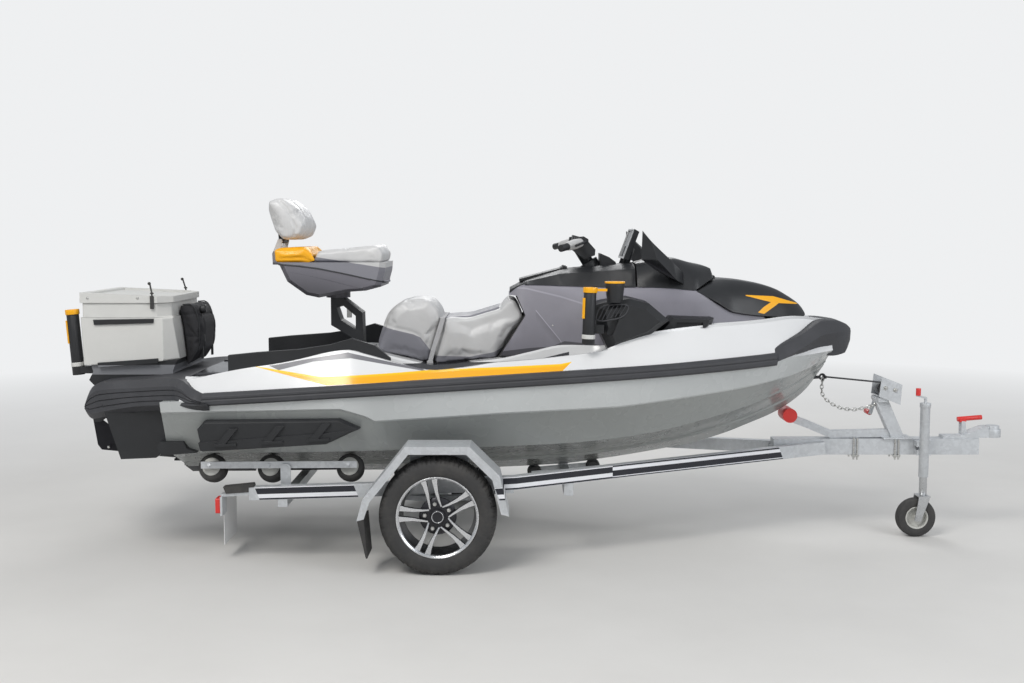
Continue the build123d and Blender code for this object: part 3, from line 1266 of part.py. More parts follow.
with BuildPart() as winch_strap:
    add(rod((WINCH_DRUM[0], -30, WINCH_DRUM[1]), (WINCH_DRUM[0], 30, WINCH_DRUM[1]), 33, 12.2))
    strap_points = [(1412, 799), (1715, 769), (1715, 765), (1412, 795)]
    add(prism(strap_points, -STRAP_HALF_WIDTH, STRAP_HALF_WIDTH))
    add(block(1404, 1414, -STRAP_HALF_WIDTH, STRAP_HALF_WIDTH, 790, 804))
    add(bow_eye.part, mode=Mode.SUBTRACT)
pieces["winch_strap"] = winch_strap

# Jockey wheel

CROWN_Z = 2 * JOCKEY_RADIUS + SWING_GAP
CROWN_THICKNESS = 6.0
JOCKEY_PIN_RADIUS = 8.0
LEG_FIT = 0.1
tube_bottom = max(JOCKEY_TUBE_Z[0], CROWN_Z + CROWN_THICKNESS + JOCKEY_LIFT + SWING_GAP)
tube_top = JOCKEY_TUBE_Z[1]


def on_jockey(z):
    return (JOCKEY_X, JOCKEY_Y, z)


with BuildPart() as jockey_tube:
    add(rod(on_jockey(tube_bottom), on_jockey(tube_top), JOCKEY_TUBE_RADIUS))
    add(rod(on_jockey(tube_top - 15), on_jockey(tube_top + 6), JOCKEY_TUBE_RADIUS + 3))
    add(block(JOCKEY_X - 34, JOCKEY_X + 34, JOCKEY_Y, -DRAWBAR_SIZE / 2, DRAWBAR_Z + 8, DRAWBAR_Z + 34))
    add(block(JOCKEY_X - 34, JOCKEY_X + 34, JOCKEY_Y, -DRAWBAR_SIZE / 2, DRAWBAR_Z - 34, DRAWBAR_Z - 8))
    leg_room = rod(on_jockey(tube_bottom - 20), on_jockey(tube_top - 15), JOCKEY_LEG_RADIUS + LEG_FIT)
    add(leg_room, mode=Mode.SUBTRACT)
    add(rod(on_jockey(tube_top + 6), on_jockey(tube_top + 34), 7))
    crank = [(JOCKEY_X - 8, 698), (JOCKEY_X + 4, 698), (JOCKEY_X + 4, 706), (1848, 718), (1846, 710)]
    add(prism(crank, JOCKEY_Y - 7, JOCKEY_Y + 7))
pieces["jockey_tube"] = jockey_tube
wheel_x = JOCKEY_X - JOCKEY_TRAIL
with BuildPart() as jockey_leg:
    add(rod(on_jockey(CROWN_Z + CROWN_THICKNESS + SEAT_GAP), on_jockey(560), JOCKEY_LEG_RADIUS))
pieces["jockey_leg"] = jockey_leg
FORK_Y = 38.0
with BuildPart() as jockey_fork:
    crown_top = CROWN_Z + CROWN_THICKNESS
    crown_y = (JOCKEY_Y - FORK_Y - 3, JOCKEY_Y + FORK_Y + 3)
    add(block(JOCKEY_X - 30, JOCKEY_X + 26, *crown_y, CROWN_Z, crown_top))
    for side in (-1, 1):
        low = JOCKEY_Y + side * FORK_Y - 3
        fork_top = [(JOCKEY_X - 30, crown_top), (JOCKEY_X + 26, crown_top)]
        add(prism([*fork_top, (wheel_x + 16, 84), (wheel_x - 16, 84)], low, low + 6))
    pin_ends = [(wheel_x, JOCKEY_Y + side * (FORK_Y + 6), JOCKEY_RADIUS) for side in (-1, 1)]
    add(rod(*pin_ends, JOCKEY_PIN_RADIUS))
pieces["jockey_fork"] = jockey_fork
with BuildPart() as jockey_wheel:
    bore = JOCKEY_PIN_RADIUS + SHAFT_FIT
    side_profile = [(34, bore), (34, 22), (22, 24), (25, 84), (18, JOCKEY_RADIUS)]
    profile = [*[(-y, radius) for y, radius in side_profile], *reversed(side_profile)]
    add(turned((wheel_x, JOCKEY_Y, JOCKEY_RADIUS), (0, 1, 0), profile))
pieces["jockey_wheel"] = jockey_wheel

# Coupling on the drawbar's nose, with its hand lever

BALL_X = 2268.0
BALL_RADIUS = 25.4
BALL_Z = 508.0
COUPLING_FLOOR = 490.0
drawbar_top = DRAWBAR_Z + DRAWBAR_SIZE / 2
with BuildPart() as coupling:
    seat_z = drawbar_top + SEAT_GAP
    neck = [(2010, seat_z), (2190, seat_z), (2190, COUPLING_FLOOR), (2240, COUPLING_FLOOR)]
    add(prism([*neck, (2240, 546), (2208, 542), (2100, 500), (2010, 500)], -34, 34))
    add(rod((BALL_X, 0, COUPLING_FLOOR), (BALL_X, 0, 530), 42))
    add(rod((BALL_X, 0, 530), (BALL_X, 0, 548), 34))
    with Locations((BALL_X, 0, BALL_Z)):
        Sphere(BALL_RADIUS, mode=Mode.SUBTRACT)
    add(rod((BALL_X, 0, COUPLING_FLOOR - 10), (BALL_X, 0, BALL_Z), BALL_RADIUS), mode=Mode.SUBTRACT)
    for side in (-1, 1):
        ends = sorted((side * 16, side * 21))
        add(prism([(2106, 498), (2132, 508), (2124, 572), (2106, 572)], *ends))
pieces["coupling"] = coupling

with BuildPart() as red_grips:
    add(less(rod((2090, 0, 580), (2212, 0, 590), 12), coupling.part))
    add(prism([(2098, 566), (2130, 568), (2128, 580), (2098, 580)], -16, 16))
    add(less(rod((1855, JOCKEY_Y, 714), (1855, JOCKEY_Y, 750), 12), jockey_tube.part))
    add(rod((1675, CRANK_Y + 6, 598), (1675, CRANK_Y + 70, 598), 13))
pieces["red_grips"] = red_grips

# Tail lamps, blank board and the rubber flaps and pads

with BuildPart() as tail_lamps:
    add(block(-1538, LAMP_PLATE_X - SEAT_GAP, -615, -545, 237, 307))
    mirror(about=Plane.XZ)
pieces["tail_lamps"] = tail_lamps
with BuildPart() as number_board:
    add(block(LAMP_PLATE_X - 4, LAMP_PLATE_X - SEAT_GAP, -540, -290, 72, 302))
pieces["number_board"] = number_board
with BuildPart() as rubber_flaps:
    flap = [(-859, 252), (-829, 262), (-815, 85), (-822, 85)]
    add(less(prism(flap, -MUDGUARD_Y[1], -MUDGUARD_Y[0] - 8), mudguards.part))
    pad = [(-1503, 359), (-1365, 373), (-1361, 358), (-1385, 356), (-1385, 334.3), (-1490, 326.8)]
    add(less(prism(pad, -604, -556), trailer_frame.part))
    mirror(about=Plane.XZ)
pieces["rubber_flaps"] = rubber_flaps

for name, piece in pieces.items():
    piece.part.label = name
    export_step(piece.part, f"parts/{name}.step")
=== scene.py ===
"""The fishing watercraft on its trailer, dressed: every surface's finish, the padded seats, smooth
mouldings and the fittings that are too small for the construction model. Metres, +X to the bow,
+Y to port; the tables copied from the construction model are in millimetres, as there."""

import bisect
import json
import math

import bmesh
import bpy
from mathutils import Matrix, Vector

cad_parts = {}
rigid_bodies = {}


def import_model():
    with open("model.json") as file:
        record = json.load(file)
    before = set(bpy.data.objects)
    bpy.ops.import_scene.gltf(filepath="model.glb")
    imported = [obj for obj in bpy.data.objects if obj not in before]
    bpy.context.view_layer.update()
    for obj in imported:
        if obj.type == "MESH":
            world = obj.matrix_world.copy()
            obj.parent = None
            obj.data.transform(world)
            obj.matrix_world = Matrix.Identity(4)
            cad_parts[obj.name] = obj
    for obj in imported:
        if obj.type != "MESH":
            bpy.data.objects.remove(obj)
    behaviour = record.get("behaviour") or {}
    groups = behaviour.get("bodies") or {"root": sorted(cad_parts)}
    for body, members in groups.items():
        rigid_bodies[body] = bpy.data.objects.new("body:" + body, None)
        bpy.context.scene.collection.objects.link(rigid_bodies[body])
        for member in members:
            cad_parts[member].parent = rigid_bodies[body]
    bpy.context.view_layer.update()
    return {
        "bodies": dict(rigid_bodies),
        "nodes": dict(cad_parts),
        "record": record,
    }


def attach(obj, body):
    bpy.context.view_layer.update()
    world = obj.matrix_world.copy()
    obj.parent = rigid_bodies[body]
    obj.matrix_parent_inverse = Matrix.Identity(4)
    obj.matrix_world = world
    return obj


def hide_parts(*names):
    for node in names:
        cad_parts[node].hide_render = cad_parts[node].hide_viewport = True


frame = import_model()
scene = bpy.context.scene
scene.view_settings.view_transform = "Standard"

MM = 0.001
CRAFT = "craft_on_trailer"
AXLE = (-505.0, 735.0, 264.0)  # the road wheels' centres: x, distance from the middle, z
NOWHERE = 1e9  # a seam's distance where it doesn't run


# Shader helpers

class Shader:
    """A material's node tree with short calls for the nodes that it uses."""

    def __init__(self, name):
        self.material = bpy.data.materials.new(name)
        self.material.use_nodes = True
        self.tree = self.material.node_tree
        self.tree.nodes.clear()
        self.surface = self.add("ShaderNodeBsdfPrincipled")
        output = self.add("ShaderNodeOutputMaterial")
        self.link(self.surface.outputs[0], output.inputs[0])
        self.spot = self.add("ShaderNodeTexCoord").outputs["Object"]
        axes = self.add("ShaderNodeSeparateXYZ")
        self.link(self.spot, axes.inputs[0])
        self.x, self.y, self.z = axes.outputs

    def add(self, kind, **settings):
        node = self.tree.nodes.new(kind)
        for key, value in settings.items():
            setattr(node, key, value)
        return node

    def link(self, source, target):
        self.tree.links.new(source, target)

    def put(self, value, socket):
        """Sets a socket, or links it where the value is another node's output."""
        if isinstance(value, bpy.types.NodeSocket):
            self.link(value, socket)
        else:
            socket.default_value = value

    def noise(self, scale, detail=3.0, rough=0.5, stretch=(1.0, 1.0, 1.0)):
        mapping = self.add("ShaderNodeMapping")
        mapping.inputs["Scale"].default_value = stretch
        self.link(self.spot, mapping.inputs["Vector"])
        node = self.add("ShaderNodeTexNoise")
        node.inputs["Scale"].default_value = scale
        node.inputs["Detail"].default_value = detail
        node.inputs["Roughness"].default_value = rough
        self.link(mapping.outputs[0], node.inputs["Vector"])
        return node.outputs[0]

    def cells(self, scale, feature="F1", output="Distance"):
        node = self.add("ShaderNodeTexVoronoi", feature=feature)
        node.inputs["Scale"].default_value = scale
        self.link(self.spot, node.inputs["Vector"])
        return node.outputs[output]

    def math(self, operation, a, b=0.0):
        node = self.add("ShaderNodeMath", operation=operation)
        self.put(a, node.inputs[0])
        self.put(b, node.inputs[1])
        return node.outputs[0]

    def ramp(self, value, low, high, to_low=0.0, to_high=1.0):
        node = self.add("ShaderNodeMapRange")
        for count, part in enumerate((value, low, high, to_low, to_high)):
            self.put(part, node.inputs[count])
        return node.outputs[0]

    def mix(self, share, a, b):
        node = self.add("ShaderNodeMix", data_type="RGBA")
        self.put(share, node.inputs[0])
        for value, socket in ((a, node.inputs[6]), (b, node.inputs[7])):
            self.put((*value, 1.0) if isinstance(value, tuple) else value, socket)
        return node.outputs[2]

    def bump(self, height, distance, strength=1.0, below=None):
        node = self.add("ShaderNodeBump")
        node.inputs["Strength"].default_value = strength
        node.inputs["Distance"].default_value = distance
        self.link(height, node.inputs["Height"])
        if below is not None:
            self.link(below, node.inputs["Normal"])
        return node.outputs[0]

    def line(self, points):
        """A function of X in straight lines through points in millimetres."""
        total = points[0][1] * MM
        for (low, start), (high, end) in zip(points, points[1:]):
            total = self.math("ADD", self.ramp(self.x, low * MM, high * MM, 0.0, (end - start) * MM), total)
        return total

    def above(self, value, limit, soft=0.0005):
        """1 where value is over limit and 0 under it."""
        return self.ramp(self.math("SUBTRACT", value, limit), -soft, soft)

    def every(self, *masks):
        total = masks[0]
        for mask in masks[1:]:
            total = self.math("MULTIPLY", total, mask)
        return total

    def band(self, value, low, high):
        """1 where value is between low and high."""
        return self.every(self.above(value, low), self.above(high, value))

    def area(self, low, high):
        """1 where Z is between two lines over X that start and end at the same X."""
        span = self.band(self.x, low[0][0] * MM, low[-1][0] * MM)
        return self.every(span, self.band(self.z, self.line(low), self.line(high)))

    def finish(self, color, rough, metallic=0.0, normal=None, **sockets):
        self.put((*color, 1.0) if isinstance(color, tuple) else color, self.surface.inputs["Base Color"])
        self.put(rough, self.surface.inputs["Roughness"])
        self.put(metallic, self.surface.inputs["Metallic"])
        if normal is not None:
            self.link(normal, self.surface.inputs["Normal"])
        for key, value in sockets.items():
            self.surface.inputs[key.replace("_", " ").title()].default_value = value
        return self.material


def shade(color, factor):
    return tuple(min(1.0, part * factor) for part in color)


WHITE = (0.72, 0.725, 0.73)
PANEL_GREY = (0.50, 0.52, 0.52)
HULL_GREY = (0.285, 0.30, 0.295)
CHARCOAL = (0.040, 0.041, 0.046)
BLACK = (0.014, 0.015, 0.017)
FAIRING_GREY = (0.20, 0.195, 0.225)
BAND_GREY = (0.17, 0.17, 0.185)
SILVER = (0.55, 0.55, 0.55)
SEAT_SIDE = (0.20, 0.20, 0.225)
ORANGE = (0.90, 0.42, 0.004)
# The painted highlight along the orange stripe's top edge
STRIPE_HIGHLIGHT = (0.95, 0.58, 0.01)
RED = (0.62, 0.035, 0.03)
PALE_METAL = (0.72, 0.73, 0.75)

# The lower edge of the hull's lighter upper panel: x, z
KNUCKLE = [
    (-1790, 693), (-1758, 694), (-960, 716), (-842, 679), (-806, 656), (-229, 697), (323, 724), (704, 768),
    (900, 792), (1029, 812), (1130, 830), (1211, 848), (1310, 878), (1400, 915),
]

# The orange stripe and the grey band on the deck's sides, each as its lower and upper edge: x, z
STRIPE = (
    [(-1368, 904), (-1020, 828), (46, 884), (100, 929)],
    [(-1368, 906), (-1049, 864), (46, 921), (100, 931)],
)
GREY_BAND = (
    [(-1300, 908), (-1253, 890), (-1096, 929), (-919, 946), (-600, 889), (-540, 876)],
    [(-1300, 910), (-1253, 916), (-1096, 945), (-934, 971), (-600, 897), (-540, 878)],
)


# Finishes

def gelcoat(name, color, rough=0.2, paint=None):
    """Sprayed glossy mouldings: faint waviness, and dust that dulls the gloss."""
    s = Shader(name)
    base = s.mix(s.ramp(s.noise(2.0, 4.0, 0.5), 0.3, 0.75), shade(color, 1.02), shade(color, 0.97))
    if paint:
        base = paint(s, base)
    gloss = s.ramp(s.noise(9.0, 2.0, 0.5), 0.3, 0.7, rough - 0.02, rough + 0.04)
    wave = s.bump(s.noise(3.0, 0.0), 0.0004)
    return s.finish(base, gloss, normal=wave, coat_weight=0.3, coat_roughness=0.12)


def paint_hull(s, base):
    """The lighter upper panel, and road dust low on the sides."""
    panel = s.above(s.z, s.line(KNUCKLE))
    lighter = s.mix(s.ramp(s.noise(4.0, 4.0), 0.3, 0.7), PANEL_GREY, shade(PANEL_GREY, 0.94))
    height = s.math("ADD", s.z, s.math("MULTIPLY", s.noise(5.0, 2.0, 0.5), 0.10))
    dusty = s.ramp(height, 0.36, 0.62, 0.16, 0.0)
    return s.mix(panel, s.mix(dusty, base, (0.33, 0.31, 0.27)), lighter)


def paint_deck(s, base):
    """The orange stripe with a painted highlight along its top edge, the grey band, charcoal non-slip floors
    and the white that is left.
    """
    outside = s.above(s.math("ABSOLUTE", s.y), 0.44)
    stripe = s.every(outside, s.area(*STRIPE))
    # A painted highlight: pale yellow along the stripe's top edge, fading to orange below it.
    below_top = s.math("SUBTRACT", s.line(STRIPE[1]), s.z)
    orange = s.mix(s.ramp(below_top, 0.002, 0.012), STRIPE_HIGHLIGHT, ORANGE)
    grey = s.every(outside, s.area(*GREY_BAND))
    non_slip = s.every(
        s.above(s.line([(-1700, 462), (-1437, 470), (-90, 470), (60, 455)]), s.math("ABSOLUTE", s.y)),
        s.above(s.line([(-1700, 880), (-540, 895), (-90, 905), (120, 960)]), s.z),
        s.above(0.10, s.x),
    )
    painted = s.mix(s.every(grey, s.above(1.0, stripe)), base, BAND_GREY)
    painted = s.mix(stripe, painted, orange)
    return s.mix(non_slip, painted, CHARCOAL)


def moulded(name, color, rough=0.5, grain=900.0, depth=0.00025, wear=1.35, paint=None):
    """Grained plastic, paler where hands and feet have rubbed it."""
    s = Shader(name)
    rubbed = s.ramp(s.noise(7.0, 4.0, 0.65), 0.45, 0.75)
    base = s.mix(rubbed, color, shade(color, wear))
    if paint:
        base = paint(s, base)
    gloss = s.ramp(s.noise(14.0, 2.0), 0.3, 0.7, rough - 0.03, rough + 0.06)
    return s.finish(base, gloss, normal=s.bump(s.cells(grain, "SMOOTH_F1"), depth))


def vinyl(name, color, rough=0.36, paint=None):
    """Marine vinyl over foam: a fine leather grain and soft creases."""
    s = Shader(name)
    base = s.mix(s.ramp(s.noise(6.0, 4.0, 0.6), 0.35, 0.7), shade(color, 1.04), shade(color, 0.92))
    if paint:
        base = paint(s, base)
    grain = s.bump(s.cells(650.0, "SMOOTH_F1"), 0.0003)
    creases = s.bump(s.noise(30.0, 3.0, 0.6), 0.0012, 0.6, grain)
    gloss = s.ramp(s.noise(30.0, 2.0), 0.3, 0.7, rough - 0.06, rough + 0.08)
    return s.finish(base, gloss, normal=creases)


def galvanised(name, color=(0.60, 0.62, 0.64), paint=None):
    """Hot-dip zinc: spangled crystals, dull runs and a mottled grey."""
    s = Shader(name)
    grey = s.add("ShaderNodeSeparateColor")
    s.link(s.cells(70.0, "F1", "Color"), grey.inputs[0])
    base = s.mix(s.ramp(grey.outputs[0], 0.0, 1.0, 0.0, 0.45), color, shade(color, 0.72))
    base = s.mix(s.ramp(s.noise(5.0, 4.0, 0.65), 0.5, 0.78), base, shade(color, 0.84))
    metallic = 0.45
    if paint:
        base, metallic = paint(s, base, metallic)
    gloss = s.ramp(grey.outputs[1], 0.0, 1.0, 0.36, 0.54)
    return s.finish(base, gloss, metallic, s.bump(s.noise(60.0, 2.0), 0.0006))


def metal(name, color, rough=0.3, brushed=(1.0, 1.0, 8.0), metallic=0.9):
    s = Shader(name)
    lines = s.noise(120.0, 2.0, 0.5, brushed)
    base = s.mix(s.ramp(s.noise(14.0, 3.0), 0.35, 0.7), color, shade(color, 0.85))
    gloss = s.ramp(lines, 0.3, 0.7, rough - 0.08, rough + 0.12)
    return s.finish(base, gloss, metallic, s.bump(lines, 0.0002))


def rubber(name, color=(0.030, 0.030, 0.031), dust=(0.13, 0.12, 0.105), ribs=None):
    """Dull rubber, greyed by dust."""
    s = Shader(name)
    dusty = s.ramp(s.noise(11.0, 5.0, 0.7), 0.45, 0.85, 0.05, 0.4)
    fine = s.bump(s.noise(350.0, 2.0), 0.0004)
    normal = ribs(s, fine) if ribs else fine
    return s.finish(s.mix(dusty, color, dust), 0.72, normal=normal)


SIPES = 76.0  # round the tyre
SIDE_RIBS = 1500.0  # radians for each metre of radius
RIM_EDGE = 0.196
SHOULDER = 0.243


def tread(s, below):
    """Sipes across a road wheel's shoulders, and fine ribs on its sides."""
    dx = s.math("SUBTRACT", s.x, AXLE[0] * MM)
    dz = s.math("SUBTRACT", s.z, AXLE[2] * MM)
    turn = s.math("ARCTAN2", dz, dx)
    radius = s.math("SQRT", s.math("ADD", s.math("MULTIPLY", dx, dx), s.math("MULTIPLY", dz, dz)))
    wave = s.math("SINE", s.math("MULTIPLY", turn, SIPES))
    sipes = s.every(s.ramp(wave, 0.55, 0.85), s.ramp(radius, SHOULDER, SHOULDER + 0.006))
    ribs = s.ramp(s.math("SINE", s.math("MULTIPLY", radius, SIDE_RIBS)), 0.0, 1.0)
    ribs = s.every(ribs, s.band(radius, RIM_EDGE, SHOULDER))
    return s.bump(ribs, 0.0004, 0.6, s.bump(s.math("SUBTRACT", 1.0, sipes), 0.004, 0.9, below))


def weave(name, color, threads=900.0, rough=0.85):
    """Woven cloth or webbing: crossed threads."""
    s = Shader(name)
    warp = s.math("SINE", s.math("MULTIPLY", s.x, threads))
    weft = s.math("SINE", s.math("MULTIPLY", s.math("ADD", s.y, s.z), threads))
    cloth = s.math("MULTIPLY", warp, weft)
    soiled = s.ramp(s.noise(9.0, 4.0, 0.6), 0.4, 0.8, 0.0, 0.3)
    base = s.mix(s.ramp(cloth, -1.0, 1.0), shade(color, 0.7), shade(color, 1.25))
    return s.finish(s.mix(soiled, base, shade(color, 1.6)), rough, normal=s.bump(cloth, 0.0005))


# The side rails' middle height, and just inside their outer faces: x, z and x, y
RAIL_LINE = [(-1385, 327), (-834, 346), (-156, 381), (435, 408), (1240, 427), (1400, 445)]
RAIL_FACE = [(-1385, 596), (-156, 614), (435, 416), (1240, 78), (1400, 78)]
RAIL_HALF_HEIGHT = 31.0
DECALS = ((-1347, -891), (-240, 1172))  # where the side rails' black and white tape starts and ends


def paint_frame(s, base, metallic):
    """Black and white tape along the side rails' outer faces."""
    height = s.math("DIVIDE", s.math("SUBTRACT", s.z, s.line(RAIL_LINE)), RAIL_HALF_HEIGHT * MM)
    slanted = s.math("ADD", s.x, s.math("MULTIPLY", height, 0.012))
    taped = s.math("MAXIMUM", *[s.band(slanted, low * MM, high * MM) for low, high in DECALS])
    outer = s.above(s.math("ABSOLUTE", s.y), s.line(RAIL_FACE))
    taped = s.every(taped, outer, s.band(height, -0.96, 0.96))
    rear = s.math("ADD", s.band(height, 0.78, 0.92), s.band(height, -0.72, -0.12))
    front = s.math("ADD", s.band(height, 0.20, 0.72), s.band(height, -0.80, -0.68))
    ahead = s.above(s.x, 0.30)
    white = s.math("ADD", s.every(ahead, front), s.every(s.math("SUBTRACT", 1.0, ahead), rear))
    tape = s.mix(white, (0.012, 0.013, 0.02), (0.78, 0.79, 0.82))
    bare = s.math("SUBTRACT", 1.0, taped)
    return s.mix(taped, base, tape), s.math("MULTIPLY", bare, metallic)


def paint_hood(s, base):
    """The orange arrow on each side of the hood."""
    head = s.area([(967, 1217), (1114, 1180), (1251, 1170)], [(967, 1221), (1114, 1212), (1251, 1174)])
    tail = s.area([(1030, 1135), (1060, 1128), (1140, 1176)], [(1030, 1138), (1060, 1162), (1140, 1206)])
    return s.mix(s.math("MAXIMUM", head, tail), base, ORANGE)


PANEL_JOINT = [(-59, 1150), (56, 1011), (85, 962)]  # x, z


def paint_fairing(s, base):
    """Painted shade in the recess along the console sides' foot, a painted highlight along the panel joint
    with painted shade below it, and a painted highlight on the upper part above the crease.
    """
    edge = s.line([(-245, 948), (-88, 969), (16, 977), (78, 1004), (197, 995), (273, 985), (1064, 985)])
    # Painted shade in the recess along the foot, below this edge.
    strip = s.above(edge, s.z)
    over_joint = s.math("SUBTRACT", s.z, s.line(PANEL_JOINT))
    joint_span = s.band(s.x, PANEL_JOINT[0][0] * MM, PANEL_JOINT[-1][0] * MM)
    # A painted highlight along the panel joint.
    seam = s.every(s.band(over_joint, -0.003, 0.003), joint_span)
    crease = s.line([(-236, 1262), (-103, 1254), (60, 1216), (174, 1181), (420, 1190), (1064, 1190)])
    over_crease = s.math("SUBTRACT", s.z, crease)
    # A painted highlight on the upper part above the crease, and along the crease where x is below 0.174 m.
    upper = s.ramp(over_crease, -0.002, 0.05, 0.0, 0.75)
    edge_light = s.every(s.band(over_crease, -0.004, 0.004), s.above(0.174, s.x))
    lit = s.mix(s.math("MAXIMUM", upper, edge_light), base, shade(FAIRING_GREY, 1.45))
    # Painted shade below the panel joint, deepest next to it.
    fold = s.every(s.ramp(over_joint, -0.05, 0.0), s.above(0.0, over_joint), joint_span)
    lit_and_shaded = s.mix(s.math("MULTIPLY", fold, 0.5), lit, shade(FAIRING_GREY, 0.6))
    lit_and_shaded = s.mix(seam, lit_and_shaded, shade(FAIRING_GREY, 1.7))
    return s.mix(strip, lit_and_shaded, shade(FAIRING_GREY, 0.35))


# The edges of the chair's silver cover and of its grey side: x, z
CHAIR_COVER = [(-1330, 1432), (-1161, 1411), (-830, 1359), (-780, 1351)]
CHAIR_LIP = [(-1330, 1378), (-1306, 1375), (-1112, 1354), (-861, 1301), (-790, 1285)]


def paint_chair(s, _base):
    """The chair's shell: silver and grey cushion cover above the slanting lips, darker tub below."""
    under_lip = s.math("SUBTRACT", s.line(CHAIR_LIP), s.z)
    tub = s.mix(s.ramp(under_lip, 0.02, 0.11), shade(FAIRING_GREY, 0.75), shade(FAIRING_GREY, 0.42))
    painted = s.mix(s.above(0.0, under_lip), tub, shade(SEAT_SIDE, 1.1))
    painted = s.mix(s.band(under_lip, 0.0, 0.006), painted, BLACK)
    return s.mix(s.above(s.z, s.line(CHAIR_COVER)), painted, SILVER)


def paint_cushion(s, base):
    """The grey border of the chair's seat cushion, below its piping."""
    return s.mix(s.above(s.line(CHAIR_COVER), s.z), base, shade(SEAT_SIDE, 1.1))


def paint_tray(s, base):
    """The cooler's grey tray between its dark side rails and its rubber foot."""
    return s.mix(s.band(s.z, 0.842, 0.889), base, (0.19, 0.195, 0.21))


def paint_passenger(s, base):
    """Grey side panels below the seam."""
    top = s.line([(-860, 1076), (-775, 1058), (-654, 1029), (-620, 1013), (-575, 952), (-530, 905)])
    return s.mix(s.above(top, s.z), base, SEAT_SIDE)


def paint_driver(s, base):
    """A darker band along the foot, and a grey insert between the seams on top."""
    foot = s.above(s.line([(-575, 925), (-541, 923), (-380, 918), (-262, 942), (-180, 985)]), s.z)
    insert = s.every(s.above(0.150, s.math("ABSOLUTE", s.y)), s.band(s.x, -0.50, -0.235), s.above(s.z, 1.06))
    return s.mix(s.math("MAXIMUM", foot, insert), base, SEAT_SIDE)


materials = {
    "hull_grey": gelcoat("hull_gelcoat", HULL_GREY, 0.26, paint_hull),
    "deck_white": gelcoat("deck_gelcoat", WHITE, 0.2, paint_deck),
    "trim_charcoal": moulded("charcoal_rubber", CHARCOAL, 0.55),
    "black_plastic": moulded("black_plastic", BLACK, 0.45),
    "black_gloss": moulded("black_satin", BLACK, 0.32, 1400.0, 0.00006, 1.2, paint_hood),
    "fairing_grey": moulded("grey_satin", FAIRING_GREY, 0.38, 1400.0, 0.0001, 1.1, paint_fairing),
    "seat_cover": vinyl("silver_vinyl", SILVER),
    "bolster_orange": vinyl("orange_vinyl", ORANGE),
    "cooler_grey": moulded("cooler_shell", (0.60, 0.60, 0.58), 0.5, 500.0, 0.0004, 1.04),
    "soft_black": weave("bag_cloth", (0.022, 0.022, 0.025)),
    "orange_plastic": moulded("orange_plastic", ORANGE, 0.35, 1200.0, 0.0001, 1.05),
    "screen": moulded("screen_black", BLACK, 0.2, 1600.0, 0.00005),
    "galvanised": galvanised("galvanised", paint=paint_frame),
    "steel": metal("zinc_steel", (0.55, 0.56, 0.57)),
    "alloy": metal("alloy", (0.05, 0.05, 0.055), 0.35),
    "pump_alloy": metal("painted_casting", (0.03, 0.03, 0.033), 0.42),
    "tyre": rubber("tyre_rubber", ribs=tread),
    "rubber": rubber("black_rubber"),
    "red_plastic": moulded("red_plastic", RED, 0.35, 1200.0, 0.0001, 1.1),
    "webbing": weave("webbing", (0.03, 0.03, 0.033)),
    "strap_grey": weave("strap_webbing", (0.46, 0.46, 0.47), 1100.0),
    "board_white": moulded("board_white", (0.70, 0.70, 0.70), 0.4, 800.0, 0.0001, 1.02),
    "engine_iron": metal("engine_paint", (0.08, 0.08, 0.09), 0.5),
}
machined = metal("machined_alloy", PALE_METAL, 0.22, (1.0, 8.0, 1.0), 0.95)
dark_steel = metal("painted_steel", (0.028, 0.028, 0.032), 0.4)
tray_plastic = moulded("tray_plastic", BLACK, 0.45, paint=paint_tray)
pale_hub = moulded("pale_hub", (0.50, 0.50, 0.47), 0.45, 700.0, 0.0002, 1.1)
bolt_zinc = metal("bolt_zinc", (0.62, 0.62, 0.60), 0.28)
passenger_vinyl = vinyl("passenger_vinyl", SILVER, paint=paint_passenger)
driver_vinyl = vinyl("driver_vinyl", SILVER, paint=paint_driver)
cushion_vinyl = vinyl("cushion_vinyl", shade(SILVER, 1.05), paint=paint_cushion)
back_vinyl = vinyl("back_vinyl", shade(SILVER, 1.1))
chair_moulding = moulded("chair_moulding", FAIRING_GREY, 0.42, 900.0, 0.0002, 1.1, paint_chair)
screen_glass = moulded("screen_glass", (0.01, 0.011, 0.013), 0.15, 1600.0, 0.00002)
pad_grey = moulded("palm_pad", (0.50, 0.50, 0.50), 0.6, 900.0, 0.0003, 1.05)
silver_paint = moulded("silver_bezel", (0.48, 0.49, 0.50), 0.3, 1200.0, 0.0001, 1.05)

slots = {part["node"]: part["material_slot"] for part in frame["record"]["subparts"]}
body_names = {empty: name for name, empty in frame["bodies"].items()}
bodies = {node: body_names[piece.parent] for node, piece in frame["nodes"].items()}

for node, piece in frame["nodes"].items():
    piece.data.materials.clear()
    piece.data.materials.append(materials[slots[node]])


# Mesh helpers

def soften(piece, width=0.003, steps=2, angle=0.52):
    """Rounds a piece's sharp edges with a bevel that hardens the normals beside it; the mesh itself stays."""
    weld = piece.modifiers.new("weld", "WELD")
    weld.merge_threshold = 0.00002
    bevel = piece.modifiers.new("bevel", "BEVEL")
    bevel.width = width
    bevel.segments = steps
    bevel.limit_method = "ANGLE"
    bevel.angle_limit = angle
    bevel.harden_normals = True
    bevel.use_clamp_overlap = True


def new_piece(name, data):
    piece = bpy.data.objects.new(name, data)
    scene.collection.objects.link(piece)
    return piece


def mesh_data(name, mesh):
    """Turns a bmesh into mesh data with its faces outward."""
    bmesh.ops.recalc_face_normals(mesh, faces=mesh.faces)
    data = bpy.data.meshes.new(name)
    mesh.to_mesh(data)
    mesh.free()
    return data


def shade_smooth(data):
    for face in data.polygons:
        face.use_smooth = True


